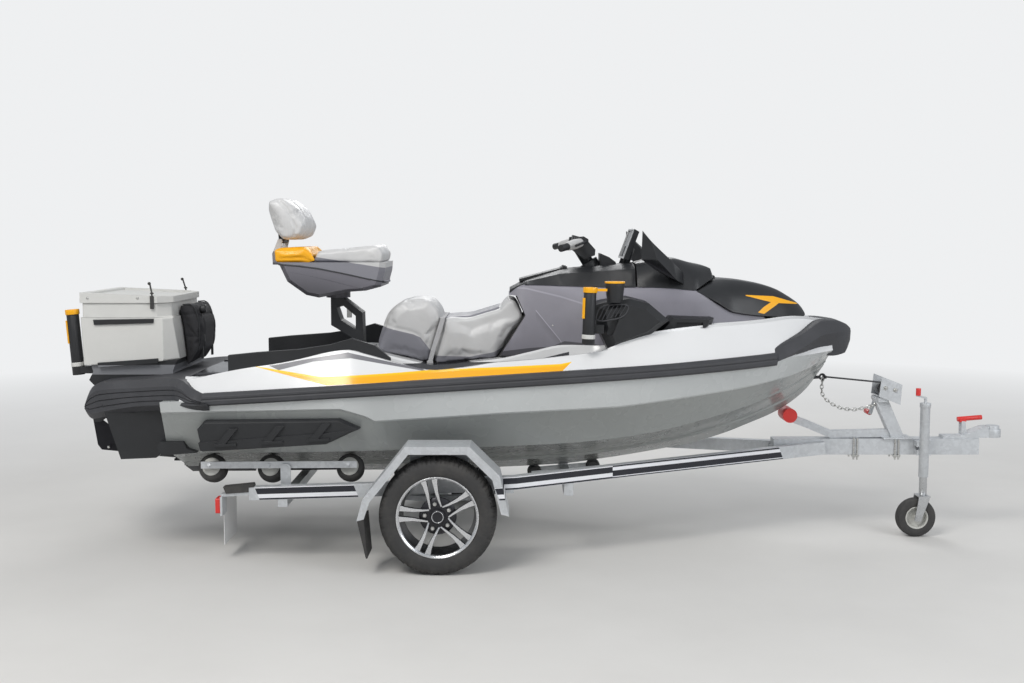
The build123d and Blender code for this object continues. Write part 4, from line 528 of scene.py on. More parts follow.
def place(name, mesh, finish, body=CRAFT, look=None, stands_for=()):
    """Makes a piece from a bmesh or mesh data, gives it its finish and sets it on its body."""
    data = mesh_data(name, mesh) if isinstance(mesh, bmesh.types.BMesh) else mesh
    shade_smooth(data)
    data.materials.clear()
    data.materials.append(look or materials[finish])
    piece = new_piece(name, data)
    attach(piece, body)
    if stands_for:
        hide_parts(*stands_for)
    return piece


def skin(mesh, rings, closed=False):
    """Quads between rings of equal length, which close on themselves or with an end face each."""
    for low, high in zip(rings, [*rings[1:], rings[0]] if closed else rings[1:]):
        for count in range(len(low)):
            after = (count + 1) % len(low)
            mesh.faces.new((low[count], low[after], high[after], high[count]))
    if not closed:
        mesh.faces.new(rings[0])
        mesh.faces.new(list(reversed(rings[-1])))
    return mesh


def loft(mesh, sections):
    """A closed body through closed rings of points."""
    return skin(mesh, [[mesh.verts.new(point) for point in section] for section in sections])


def mirrored(x, half):
    """A ring at x from half an outline of (y, z), bottom to top, all in mm."""
    other = [(-y, z) for y, z in reversed(half) if y > 0]
    return [(x * MM, y * MM, z * MM) for y, z in [*half, *other]]


def shell(sections):
    """A closed body through mirrored half outlines."""
    return loft(bmesh.new(), [mirrored(x, half) for x, half in sections])


def prism(outline, y_low, y_high, mesh=None):
    """A side view outline in mm, from y_low to y_high."""
    ends = [[(x * MM, y * MM, z * MM) for x, z in outline] for y in (y_low, y_high)]
    return loft(mesh or bmesh.new(), ends)


def block(mesh, low, high):
    """A box between two corners in mm."""
    outline = [(low[0], low[2]), (high[0], low[2]), (high[0], high[2]), (low[0], high[2])]
    return prism(outline, low[1], high[1], mesh)


def lathe(mesh, origin, axis, profile, steps=64, wave=None, hollow=False):
    """A profile of (shift, radius) in mm turned about an axis through origin. wave gives a factor
    on the radius for each step round; a hollow profile is closed on itself instead of by end faces."""
    ahead = Vector(axis).normalized()
    first = ahead.orthogonal().normalized()
    second = ahead.cross(first)
    rings = []
    for shift, radius in profile:
        centre = Vector(origin) * MM + ahead * shift * MM
        ring = []
        for step in range(steps):
            angle = 2 * math.pi * step / steps
            reach = radius * MM * (wave(step, shift, radius) if wave else 1.0)
            ring.append(mesh.verts.new(centre + (first * math.cos(angle) + second * math.sin(angle)) * reach))
        rings.append(ring)
    return skin(mesh, rings, hollow)


def both_ways(half):
    """A symmetric profile from its first half."""
    return half + [(-shift, radius) for shift, radius in reversed(half)]


def tube(mesh, points, radius, steps=12, closed=False):
    """A round bar through points in mm, with its ends closed or joined to each other."""
    path = [Vector(point) * MM for point in points]
    rings = []
    side = None
    for count, point in enumerate(path):
        before = path[count - 1] if count or closed else point
        after = path[(count + 1) % len(path)] if count < len(path) - 1 or closed else point
        ahead = (after - before).normalized()
        side = ahead.orthogonal() if side is None else side - ahead * side.dot(ahead)
        side = side.normalized()
        up = ahead.cross(side)
        ring = []
        for step in range(steps):
            angle = 2 * math.pi * step / steps
            ring.append(mesh.verts.new(point + (side * math.cos(angle) + up * math.sin(angle)) * radius * MM))
        rings.append(ring)
    return skin(mesh, rings, closed)


def rounded(points, share=0.5, rounds=2, closed=False):
    """A path with its corners cut again and again."""
    for _ in range(rounds):
        fresh = [] if closed else [Vector(points[0])]
        pairs = list(zip(points, points[1:] + (points[:1] if closed else [])))
        for low, high in pairs:
            low, high = Vector(low), Vector(high)
            fresh += [low.lerp(high, share / 2), low.lerp(high, 1 - share / 2)]
        points = fresh if closed else [*fresh, Vector(points[-1])]
    return points


def bolt(mesh, centre, axis, across=16.0, height=7.0, washer=1.5):
    """A hexagon head on its washer, with the end of the thread."""
    corner = 0.55 * across
    lathe(mesh, centre, axis, [(0, 0.66 * across), (washer, 0.66 * across)], 24)
    lathe(mesh, centre, axis, [(washer, corner), (height * 0.85, corner), (height, 0.47 * across)], 6)
    lathe(mesh, centre, axis, [(height, 0.26 * across), (height + 4, 0.26 * across)], 12)


def joined(name, build, finish, body=CRAFT, look=None, edge=0.0, stands_for=()):
    """A piece that a function draws into one mesh. edge is the bevel on its edges, in metres."""
    mesh = bmesh.new()
    build(mesh)
    piece = place(name, mesh, finish, body, look, stands_for=stands_for)
    soften(piece, edge or 0.0006, 2 if edge else 1)
    return piece


def cut(piece, *cutters):
    """Takes closed meshes out of a piece for good."""
    tools = []
    for mesh in cutters:
        tool = new_piece("cutter", mesh_data("cutter", mesh))
        tools.append(tool)
        taken = piece.modifiers.new("cut", "BOOLEAN")
        taken.operation = "DIFFERENCE"
        taken.solver = "EXACT"
        taken.object = tool
    settle(piece)
    for tool in tools:
        bpy.data.objects.remove(tool)


def settle(piece):
    """Turns a piece's modifiers into its mesh."""
    bpy.context.view_layer.update()
    shown = piece.evaluated_get(bpy.context.evaluated_depsgraph_get())
    data = bpy.data.meshes.new_from_object(shown)
    piece.modifiers.clear()
    piece.data = data
    shade_smooth(data)


def smooth(table, column):
    """A station table's column as a function of x that runs smoothly and never overshoots."""
    xs = [row[0] for row in table]
    ys = [row[column] for row in table]
    steps = [high - low for low, high in zip(xs, xs[1:])]
    slopes = [(high - low) / step for low, high, step in zip(ys, ys[1:], steps)]
    turns = [slopes[0]]
    for low, high in zip(slopes, slopes[1:]):
        turns.append(2 * low * high / (low + high) if low * high > 0 else 0.0)
    turns.append(slopes[-1])

    def value(x):
        count = min(max(bisect.bisect_right(xs, x) - 1, 0), len(steps) - 1)
        step = steps[count]
        t = min(max((x - xs[count]) / step, 0.0), 1.0)
        start = (1 + 2 * t) * (1 - t) ** 2 * ys[count] + t * (1 - t) ** 2 * step * turns[count]
        return start + t * t * (3 - 2 * t) * ys[count + 1] + t * t * (t - 1) * step * turns[count + 1]

    return value


def smooth_rows(table, spacing):
    """A table's rows at even steps, with its columns run smoothly."""
    columns = [smooth(table, column) for column in range(1, len(table[0]))]
    low, high = table[0][0], table[-1][0]
    count = max(2, round((high - low) / spacing))
    for step in range(count + 1):
        x = low + (high - low) * step / count
        yield (x, *[column(x) for column in columns])


def straight(points, x):
    """A line's height at x, in straight runs between points."""
    for (low, start), (high, end) in zip(points, points[1:]):
        if x <= high:
            return start + (end - start) * max(0.0, x - low) / (high - low)
    return points[-1][1]


# Hull, deck and the mouldings round them

TRANSOM_X = -1790.0
DECK_REAR_X = TRANSOM_X + 90
STRAKE = (0.36, 0.42, 0.43)  # its step on the bottom, as shares of the distance to the chine
CHINE_LIP = 7.0
RUB_RAIL_PROUD = 16.0
RUB_RAIL_HALF_HEIGHT = 29.0
RUB_RAIL_REACH = (-1592, 1076)
RUB_RAIL_STEPS = 89

# x, sheer_y, keel_z, chine_y, chine_z, side_y, side_z
HULL = [
    (TRANSOM_X, 585, 312, 465, 500, 560, 690),
    (-1200, 612, 316, 488, 506, 588, 702),
    (-540, 622, 325, 500, 525, 598, 690),
    (60, 618, 350, 485, 548, 590, 712),
    (300, 606, 381, 455, 566, 574, 724),
    (520, 582, 417, 418, 596, 543, 746),
    (735, 532, 460, 362, 640, 485, 772),
    (900, 482, 508, 306, 678, 432, 792),
    (1029, 430, 560, 250, 714, 375, 812),
    (1130, 377, 603, 203, 748, 321, 830),
    (1211, 325, 648, 160, 778, 265, 848),
    (1310, 255, 728, 104, 828, 188, 878),
    (1400, 180, 850, 50, 885, 105, 915),
]

# x, edge_y, edge_z, floor_y, floor_z, tunnel_y, tunnel_z
DECK = [
    (DECK_REAR_X, 500, 838, 455, 846, 280, 847),
    (-1437, 502, 893, 440, 848, 280, 850),
    (-1250, 503, 921, 430, 850, 270, 852),
    (-1200, 503, 931, 430, 852, 265, 925),
    (-934, 505, 982, 425, 856, 262, 948),
    (-850, 508, 962, 425, 858, 262, 946),
    (-700, 514, 921, 432, 861, 262, 914),
    (-540, 520, 889, 440, 864, 262, 884),
    (-400, 521, 902, 440, 866, 262, 896),
    (-240, 520, 926, 440, 868, 262, 915),
    (-90, 519, 938, 440, 876, 280, 950),
    (60, 515, 953, 440, 890, 300, 985),
    (294, 505, 988, 485, 989, 330, 1000),
    (472, 480, 1050, 462, 1052, 300, 1055),
    (735, 402, 1078, 390, 1080, 270, 1085),
    (900, 340, 1086, 330, 1087, 226, 1091),
    (1029, 280, 1092, 270, 1094, 180, 1098),
    (1211, 180, 1106, 172, 1108, 110, 1110),
    (1400, 95, 1085, 88, 1087, 50, 1089),
]

# x behind the transom, half_width, bottom_z, top_z
PLATFORM = [
    (-417, 385, 662, 742),
    (-388, 405, 640, 788),
    (-317, 452, 655, 822),
    (-110, 500, 690, 838),
    (48, 545, 700, 850),
    (88, 582, 704, 846),
    (150, 606, 707, 805),
    (230, 622, 711, 776),
]

# x, half_width, bottom_z, top_z, share of the height where the crease runs
BOW_BUMPER = [
    (1022, 448, 889, 960, 0.20),
    (1120, 397, 896, 1000, 0.38),
    (1211, 345, 905, 1037, 0.52),
    (1351, 232, 922, 1098, 0.62),
    (1420, 165, 916, 1094, 0.66),
    (1490, 95, 925, 1072, 0.70),
    (1528, 30, 985, 1046, 0.74),
]


def bond_z(x):
    """Height of the line where the deck moulding meets the hull."""
    return 861 + 0.063 * x


def v_bottom(keel_z, chine_y, chine_z, y):
    """Height of the hull's bottom at y, in a straight line from the keel to the chine."""
    return keel_z + (chine_z - keel_z) * y / chine_y


def hull_sections():
    for x, sheer_y, keel_z, chine_y, chine_z, side_y, side_z in smooth_rows(HULL, 26):
        inner, outer, end = (share * chine_y for share in STRAKE)
        low, high, chine_foot = (v_bottom(keel_z, chine_y, chine_z, y) for y in (inner, end, chine_y - 16))
        step_z = straight(KNUCKLE, x)
        step_y = chine_y + (side_y - chine_y) * (step_z - chine_z) / (side_z - chine_z)
        yield x, [
            (0, keel_z), (inner, low), (outer, low), (end, high), (chine_y - 16, chine_foot),
            (chine_y, chine_z - CHINE_LIP), (chine_y + 5, chine_z + 3), (step_y, step_z),
            (step_y + 9, step_z + 7), (sheer_y, bond_z(x)), (0, bond_z(x)),
        ]


def deck_sections():
    sheer = smooth(HULL, 1)
    for x, edge_y, edge_z, floor_y, floor_z, tunnel_y, tunnel_z in smooth_rows(DECK, 24):
        inner_edge_y = edge_y - 0.42 * (edge_y - floor_y)
        yield x, [
            (0, bond_z(x)), (sheer(x), bond_z(x)), (edge_y + 2, edge_z - 10), (edge_y - 4, edge_z - 1),
            (inner_edge_y, edge_z - 1), (floor_y + 6, floor_z + 9), (floor_y - 4, floor_z),
            (tunnel_y + 16, floor_z + 0.5), (tunnel_y + 9, floor_z + 6), (tunnel_y, tunnel_z - 10),
            (tunnel_y - 10, tunnel_z), (0, tunnel_z + 3),
        ]


def storage_room():
    """What the storage bin takes out of the deck and the console."""
    return block(bmesh.new(), (470, -185, 960), (690, 185, 1400))


hull = place("hull_shell", shell(hull_sections()), "hull_grey", stands_for=("hull",))
tunnel = block(bmesh.new(), (-1810, -130, 250), (-1460, 130, 560))
duct = prism([(-1465, 518), (-1465, 250), (-960, 250), (-1000, 330)], -85, 85)
cut(hull, tunnel, duct)
soften(hull, 0.005, 2, 0.42)

deck = place("deck_shell", shell(deck_sections()), "deck_white", stands_for=("deck",))
cut(deck, storage_room())
soften(deck, 0.007, 3, 0.35)


def rail_ring(outer, low, high, side, x):
    """The rub rail's section, with a groove along its outer face."""
    face = [
        (outer - 60, low), (outer - 9, low), (outer, low + 8), (outer, low + 24), (outer - 3, low + 27),
        (outer - 3, low + 31), (outer, low + 34), (outer - 1, high - 14), (outer - 18, high),
        (outer - 60, high),
    ]
    return [(x * MM, side * y * MM, z * MM) for y, z in face]


def build_rail(mesh):
    """The rub rail along the joint on both sides."""
    sheer = smooth(HULL, 1)
    rear, front = RUB_RAIL_REACH
    for side in (-1, 1):
        rings = []
        for step in range(RUB_RAIL_STEPS + 1):
            x = rear + step * (front - rear) / RUB_RAIL_STEPS
            low, high = bond_z(x) - RUB_RAIL_HALF_HEIGHT, bond_z(x) + RUB_RAIL_HALF_HEIGHT
            rings.append(rail_ring(sheer(x) + RUB_RAIL_PROUD, low, high, side, x))
        loft(mesh, rings)


def build_bumper(mesh):
    """The bow bumper, creased along its sides."""
    rings = []
    for x, width, low, high, crease in smooth_rows(BOW_BUMPER, 18):
        fold = low + (high - low) * crease
        rings.append(mirrored(x, [
            (0, low), (width * 0.70, low), (width * 0.78, low + 5), (width, fold), (width * 0.985, fold + 6),
            (width * 0.86, high - 5), (width * 0.81, high), (0, high + 4),
        ]))
    loft(mesh, rings)


joined("rub_rail_strips", build_rail, "trim_charcoal", edge=0.003, stands_for=("rub_rail",))
joined("bow_bumper", build_bumper, "trim_charcoal", edge=0.005)


def build_platform(mesh):
    """The stern platform, with three creases round its edge."""
    rings = []
    for x, width, low, high in smooth_rows(PLATFORM, 16):
        foot, head = low + 30, high - 34
        half = [(0, low), (width - 34, low), (width, foot)]
        for share in (0.22, 0.5, 0.78):
            z = foot + share * (head - foot)
            y = width - 6 * share
            half += [(y, z - 4), (y - 5, z), (y, z + 4)]
        half += [(width - 6, head), (width - 46, high), (0, high + 2)]
        rings.append(mirrored(TRANSOM_X + x, half))
    loft(mesh, rings)


joined("platform_shell", build_platform, "trim_charcoal", edge=0.004, stands_for=("stern_platform",))

# Console mouldings. x, base_y, waist_y, waist_z
FAIRING = [
    (-236, 252, 178, 1185),
    (-105, 266, 205, 1272),
    (60, 290, 225, 1268),
    (294, 330, 236, 1262),
    (472, 312, 255, 1262),
    (706, 286, 268, 1247),
    (815, 262, 248, 1186),
    (900, 236, 222, 1141),
    (1029, 190, 180, 1121),
    (1064, 176, 168, 1117),
]
# x, foot_y, foot_z, crown_y, crown_z
STORAGE_LID = [
    (431, 250, 1262.3, 140, 1372),
    (472, 255, 1262.3, 152, 1382),
    (520, 257, 1260.3, 165, 1392),
    (600, 260, 1255.3, 168, 1398),
    (706, 268, 1247.3, 160, 1374),
    (797, 205, 1247.3, 146, 1350),
    (812, 200, 1247.3, 142, 1311),
]
NOSE = [
    (706, 270, 1247.3, 200, 1262),
    (819, 262, 1186.3, 142, 1297),
    (900, 238, 1141.3, 130, 1293),
    (1029, 194, 1121.3, 104, 1274),
    (1130, 150, 1112, 78, 1246),
    (1211, 112, 1108, 54, 1203),
    (1270, 66, 1106, 34, 1160),
    (1294, 40, 1112, 22, 1128),
]
LID_HINGE = (822.0, 1306.0)  # the storage lid's axis: x, z
LID_KNUCKLE_Y = (62.0, 98.0)
BASE_FOOT_Z = 930
BASE_TOP_Z = 1010


def fairing_sections():
    for x, base_y, waist_y, waist_z in smooth_rows(FAIRING, 20):
        middle_y = (base_y + waist_y) / 2
        middle_z = (BASE_TOP_Z + waist_z) / 2
        yield x, [
            (0, BASE_FOOT_Z), (base_y, BASE_FOOT_Z), (base_y, BASE_TOP_Z), (middle_y + 3, middle_z),
            (waist_y, waist_z - 6), (waist_y - 8, waist_z), (0, waist_z),
        ]


# A cover's rise from foot to crown: shares of the width and of the height
COVER_CURVE = ((0.10, 0.22), (0.24, 0.46), (0.44, 0.70), (0.68, 0.87), (0.90, 0.97), (1.0, 1.0))


def cover_sections(table):
    """Rounded covers: the side rises steeply, then turns over into a nearly flat crown."""
    for x, foot_y, foot_z, crown_y, crown_z in smooth_rows(table, 14):
        rise = crown_z - foot_z
        half = [(0, foot_z), (foot_y, foot_z)]
        for share_y, share_z in COVER_CURVE:
            half.append((foot_y + (crown_y - foot_y) * share_y, foot_z + rise * share_z))
        half += [(crown_y * 0.6, crown_z + 3), (0, crown_z + 5)]
        yield x, half


seat_room = [(-300, 860), (-241, 912), (-108, 1123), (-150, 1218), (-192, 1222), (-300, 1240)]
fairing = place("fairing_shell", shell(fairing_sections()), "fairing_grey", stands_for=("console_fairing",))
cut(fairing, prism(seat_room, -300, 300), storage_room())
soften(fairing, 0.006, 3, 0.35)

lid_body = bodies["storage_lid"]
lid_mesh = shell(cover_sections(STORAGE_LID))
lid = place("lid_shell", lid_mesh, "black_gloss", lid_body, stands_for=("storage_lid",))
cut(lid, prism([(690, 1238), (811, 1306), (840, 1306), (840, 1200), (690, 1200)], -400, 400))
soften(lid, 0.005, 3, 0.4)
hood = place("hood_shell", shell(cover_sections(NOSE)), "black_gloss", stands_for=("nose_hood",))
hood_back = [(690, 1227), (806, 1292.5), (817, 1299), (817, 1420), (690, 1420)]
hinge_rooms = [block(bmesh.new(), (800, low, 1293), (835, low + 46, 1330)) for low in (-103, 57)]
cut(hood, prism(hood_back, -400, 400), *hinge_rooms)
soften(hood, 0.005, 3, 0.4)


def hinge_bars(mesh, past, radius, steps):
    """A bar along the lid's axis on each side, a distance past the knuckle; returns where each lies."""
    ends = (LID_KNUCKLE_Y[0] - past, LID_KNUCKLE_Y[1] + past)
    spans = [sorted(side * y for y in ends) for side in (-1, 1)]
    for low, high in spans:
        lathe(mesh, (LID_HINGE[0], low, LID_HINGE[1]), (0, 1, 0), [(0, radius), (high - low, radius)], steps)
    return spans


def build_lid_hinges(mesh):
    """The lid's two hinge barrels and the straps that join them to it."""
    for low, high in hinge_bars(mesh, 0, 8, 24):
        block(mesh, (800, low, LID_HINGE[1] + 1), (LID_HINGE[0], high, LID_HINGE[1] + 8))


def build_hood_pins(mesh):
    """The hinge pins between the hood's lugs."""
    hinge_bars(mesh, 6, 4, 16)


joined("lid_hinge_barrels", build_lid_hinges, "black_gloss", lid_body)
joined("hood_hinge_pins", build_hood_pins, "black_plastic")

# The rigid nodes that stay, by the bevel on their edges in metres
EDGES = {
    0.001: "number_board",
    0.0012: "winch_strap",
    0.002: (
        "impeller jockey_fork jockey_leg jockey_tube mudguards reverse_bucket roller_cradles "
        "steering_nozzle winch"
    ),
    0.0025: "boarding_ladder",
    0.003: "axle backrest_plate pump_housing rod_caps rod_holders rubber_flaps trailer_frame winch_post",
    0.004: "chart_display cooler_trim coupling glovebox_lid handlebar hull_fittings red_grips",
    0.005: "sponsons tail_lamps",
    0.006: "bow_stop chair_post engine_block gunwale_caps",
    0.008: "console_spine cooler_lid",
    0.009: "cooler_body",
    0.01: "chair_shell side_pods",
    0.016: "mirrors",
}
for width, nodes in EDGES.items():
    for node in nodes.split():
        soften(frame["nodes"][node], width, 3 if width > 0.005 else 2, 0.5)


# Padded pieces: the construction solid's form, remeshed, blown up as cloth and sewn

CLOTH_FRAMES = 20


def soft_start(name, node, look, inset, voxel, rounds):
    """A softened, slightly smaller copy of a node's form, with even quads."""
    data = frame["nodes"][node].data.copy()
    data.transform(frame["nodes"][node].matrix_world)
    piece = place(name, data, slots[node], bodies[node], look, stands_for=(node,))
    weld = piece.modifiers.new("weld", "WELD")
    weld.merge_threshold = 0.0001
    remesh = piece.modifiers.new("remesh", "REMESH")
    remesh.mode = "VOXEL"
    remesh.voxel_size = voxel * MM
    blur = piece.modifiers.new("blur", "SMOOTH")
    blur.factor = 0.5
    blur.iterations = rounds
    settle(piece)
    press(piece, lambda point, normal: inset)
    return piece


def inflate(piece, pressure, cap):
    """Blows a pad up as cloth, and holds each point within cap millimetres of its start."""
    rest = [vertex.co.copy() for vertex in piece.data.vertices]
    cloth = piece.modifiers.new("cloth", "CLOTH").settings
    cloth.quality = 4
    cloth.mass = 0.3
    cloth.use_pressure = True
    cloth.uniform_pressure_force = pressure
    cloth.effector_weights.gravity = 0.0
    for number in range(1, CLOTH_FRAMES + 1):
        scene.frame_set(number)
    shown = piece.evaluated_get(bpy.context.evaluated_depsgraph_get())
    swollen = [vertex.co.copy() for vertex in shown.data.vertices]
    piece.modifiers.clear()
    scene.frame_set(1)
    for vertex, start, end in zip(piece.data.vertices, rest, swollen):
        move = end - start
        vertex.co = start + (move.normalized() * cap * MM if move.length > cap * MM else move)


def press(piece, depth):
    """Moves each point inward by what depth gives for its place and normal, in mm."""
    for vertex, normal in [(vertex, vertex.normal.copy()) for vertex in piece.data.vertices]:
        vertex.co -= normal * depth(vertex.co, normal) * MM


def seam_distance(line, point):
    """The distance in mm of a point from a line of x and z, seen from the side."""
    spot = Vector((point.x / MM, point.z / MM))
    best = NOWHERE
    for low, high in zip(line, line[1:]):
        low, run = Vector(low), Vector(high) - Vector(low)
        share = min(1.0, max(0.0, (spot - low).dot(run) / run.length_squared))
        best = min(best, (spot - low - run * share).length)
    return best


# A seam gives a point's distance from it in mm, from the point and its normal.

def on_side(line):
    """A seam drawn in the side view, on the pad's sides only."""
    return lambda point, normal: seam_distance(line, point) if abs(normal.y) > 0.45 else NOWHERE


def over_top(line):
    """A seam that runs straight across the pad, through points of the side view."""
    return lambda point, normal: seam_distance(line, point) if abs(normal.y) < 0.75 else NOWHERE


def off_middle(y, faces):
    """A seam at a distance from the middle, on the faces that a test of the normal picks."""
    return lambda point, normal: abs(abs(point.y) / MM - y) if faces(normal) else NOWHERE


def along_top(y):
    """A seam that runs lengthwise at a distance from the middle."""
    return off_middle(y, lambda normal: normal.z > 0.3 or abs(normal.x) > 0.5)


def sew(piece, seams, depth, width=7.0):
    """Presses seams into a pad, then rounds everything with one subdivision."""
    def groove(point, normal):
        reach = min(seam(point, normal) for seam in seams) / width
        return depth * math.exp(-reach * reach) if reach < 3 else 0.0

    press(piece, groove)
    fine = piece.modifiers.new("fine", "SUBSURF")
    fine.levels = 1
    fine.render_levels = 1
    settle(piece)


PASSENGER_SEAM = [(-785, 1072), (-664, 1042), (-630, 1026), (-586, 965)]

passenger = soft_start("passenger_pad", "passenger_seat", passenger_vinyl, 2.0, 8.0, 16)
inflate(passenger, 4.0, 9.0)
sew(passenger, [on_side(PASSENGER_SEAM), along_top(158), over_top([(-700, 1150), (-690, 1220)])], 4.5)

driver = soft_start("driver_pad", "driver_seat", driver_vinyl, 2.0, 8.0, 14)
inflate(driver, 4.0, 9.0)
sew(driver, [along_top(150), over_top([(-236, 1140), (-226, 1185)])], 4.5)

cushion = soft_start("chair_seat_pad", "chair_cushion", cushion_vinyl, 2.0, 6.0, 14)
inflate(cushion, 4.0, 9.0)
sew(cushion, [along_top(128), over_top([(-985, 1400), (-975, 1480)])], 5.0)

bolster = soft_start("chair_bolster_pad", "chair_bolster", materials["bolster_orange"], 2.0, 6.0, 10)
inflate(bolster, 4.0, 8.0)
sew(bolster, [along_top(120), on_side([(-1300, 1400), (-1190, 1404), (-1150, 1385)])], 4.0)

back = soft_start("chair_back_pad", "chair_back", back_vinyl, 2.0, 6.0, 30)
inflate(back, 5.0, 12.0)
sew(back, [on_side([(-1316, 1692), (-1262, 1640), (-1222, 1545), (-1232, 1500)]), along_top(105)], 7.0, 8.0)

BAG_STRAP_Y = 96
BAG_PIPING_Y = 143

bag = soft_start("tackle_bag_pad", "tackle_bag", materials["soft_black"], 6.0, 7.0, 10)
inflate(bag, 3.0, 12.0)
sew(bag, [
    on_side([(-1790, 1120), (-1725, 1128)]), on_side([(-1790, 1010), (-1712, 1012)]),
    off_middle(BAG_STRAP_Y, lambda normal: normal.x > 0.5),
    over_top([(-1716, 1118), (-1700, 1118)]),
], 5.0, 6.0)


def build_bag_trim(mesh):
    """The bag's piping, straps and buckles, and a round cap on its front."""
    for side in (-1, 1):
        edge = [(-1795, 1172), (-1742, 1176), (-1712, 1085), (-1716, 960), (-1752, 908)]
        tube(mesh, rounded([(x, side * BAG_PIPING_Y, z) for x, z in edge]), 3.2, 8)
        y = side * BAG_STRAP_Y
        block(mesh, (-1712, y - 9, 985), (-1700, y + 9, 1020))
        block(mesh, (-1719, y - 8, 900), (-1709, y + 8, 1120))
    lathe(mesh, (-1722, -88, 1148), (1, 0, 0), [(0, 17), (8, 22), (24, 22), (30, 17), (31, 8)], 24)


joined("bag_trim", build_bag_trim, "soft_black", look=materials["black_plastic"], edge=0.0015)


STRAP_Y = 199.2


def build_strap(mesh):
    """The strap's webbing: two flat legs and the band across the seat's nose."""
    for side in (-1, 1):
        y = side * STRAP_Y
        leg = [(-588, 887), (-566, 887), (-548, 950), (-498, 1110), (-522, 1110), (-571, 950)]
        prism(leg, y - 1.6, y + 1.6, mesh)
        block(mesh, (-590, y - 2.6, 886), (-560, y + 2.6, 900))
    block(mesh, (-527, -197, 1108.5), (-499, 197, 1111.5))


joined("strap_webbing", build_strap, "strap_grey", edge=0.0012, stands_for=("strap",))


# Road wheels: tyre, barrel, five pairs of machined spokes, nuts and cap

# Shift along the axle and radius
TYRE = both_ways([
    (66, 178), (75, 186), (80, 197), (82.5, 214), (81, 232), (77, 245), (69, 255), (57, 261), (41, 263.3),
    (39, 257), (32, 257), (30, 263.8), (4, 264), (3, 257),
])
BARREL = [
    (-72, 182), (-64, 177), (64, 177), (72, 182), (70, 174), (44, 169), (-40, 160), (-62, 168), (-71, 176),
]
LIP = [(64, 178), (74, 184.5), (78, 184.5), (78, 180), (72, 173), (60, 171)]
# An arm from the hub out: radius, distance from the pair's axis, width, depth of its face
SPOKE = [(40, 26, 9, 50), (70, 23, 12, 56), (110, 21, 17, 59), (150, 23, 23, 62), (174, 26, 30, 64)]
PAIR_TURN = math.radians(30.6)


def lugs(step, shift, radius):
    """Grooves across a tyre's shoulders, at each fifth step round."""
    return 0.978 if step % 5 == 0 and 45 < abs(shift) < 80 and radius > 240 else 1.0


def on_wheel(side, turn, radial, lateral, depth):
    """A place on a wheel's face from its distance along and beside a spoke pair's axis."""
    x = AXLE[0] + radial * math.cos(turn) - lateral * math.sin(turn)
    z = AXLE[2] + radial * math.sin(turn) + lateral * math.cos(turn)
    return (x * MM, side * (AXLE[1] + depth) * MM, z * MM)


def build_spokes(mesh, side, low, high, trim):
    """Both arms of each pair, from depth low to depth high against the spoke's face."""
    for turn in pair_turns():
        for arm in (-1, 1):
            sections = []
            for radial, lateral, width, face in SPOKE:
                edges = (arm * lateral - width / 2 + trim, arm * lateral + width / 2 - trim)
                corners = [(edges[0], low), (edges[1], low), (edges[1], high), (edges[0], high)]
                sections.append([on_wheel(side, turn, radial, y, face + depth) for y, depth in corners])
            loft(mesh, sections)


def pair_turns():
    """The angle of each of the five spoke pairs."""
    return [PAIR_TURN + math.radians(72 * number) for number in range(5)]


def wheel(name, side):
    """One road wheel's tyre, dark rim, machined faces and nuts."""
    centre = (AXLE[0], side * AXLE[1], AXLE[2])
    out = (0, side, 0)
    body = bodies[f"rim_{name}"]

    def rim(mesh):
        lathe(mesh, centre, out, BARREL, 96, hollow=True)
        lathe(mesh, centre, out, [(22, 84), (36, 84), (44, 70), (47, 40)], 60)
        build_spokes(mesh, side, -16, 0, 0)
        lathe(mesh, centre, out, [(44, 35), (58, 34), (62, 30), (62, 12)], 40)

    def shine(mesh):
        lathe(mesh, centre, out, LIP, 96, hollow=True)
        build_spokes(mesh, side, -0.5, 1.6, 1.2)
        lathe(mesh, centre, out, [(61, 27), (63.4, 27), (63.4, 24), (61, 24)], 40, hollow=True)

    def nuts(mesh):
        for turn in pair_turns():
            bolt(mesh, [part / MM for part in on_wheel(side, turn, 58, 0, 40)], out, 18.0, 16.0, 2.0)

    tread_mesh = lathe(bmesh.new(), centre, out, TYRE, 160, lugs, True)
    tyre = place(f"tyre_{name}_tread", tread_mesh, "tyre", body, stands_for=(f"tyre_{name}",))
    soften(tyre, 0.0015, 1, 0.6)
    joined(f"rim_{name}_body", rim, "alloy", body, edge=0.0012, stands_for=(f"rim_{name}",))
    joined(f"rim_{name}_faces", shine, "alloy", body, machined, 0.0008)
    joined(f"rim_{name}_nuts", nuts, "steel", body, bolt_zinc)


wheel("right", -1)
wheel("left", 1)


# Hull rollers

# Where the rollers stand, and how far their centres are below the hull
SIDE_ROLLERS_X = (-1589, -1311, -939)
SIDE_ROLLERS_Y = 425
SIDE_ROLLER_DROP = 66.3
KEEL_ROLLERS_X = (-60, 240)
KEEL_ROLLER_DROP = 36.5
# Shift along the roller's axis and radius
RIBS = both_ways([
    (-42, 26), (-42, 50), (-38, 59), (-34, 63), (-30, 59), (-24, 60), (-20, 65), (-16, 60), (-8, 60),
    (-4, 66),
])
HUB = both_ways([(-45, 9), (-45, 37), (-42, 43)])
KEEL_ROLLER = [(-46, 12), (-46, 33), (-42, 36), (-30, 35), (0, 32), (30, 35), (42, 36), (46, 33), (46, 12)]


def roller_place(x):
    """A side roller's centre height and its axis slope at x."""
    keel, chine_y, chine_z = (smooth(HULL, column)(x) for column in (2, 3, 4))
    slope = math.atan((chine_z - keel) / chine_y)
    z = v_bottom(keel, chine_y, chine_z, SIDE_ROLLERS_Y) - SIDE_ROLLER_DROP / math.cos(slope)
    return z, slope


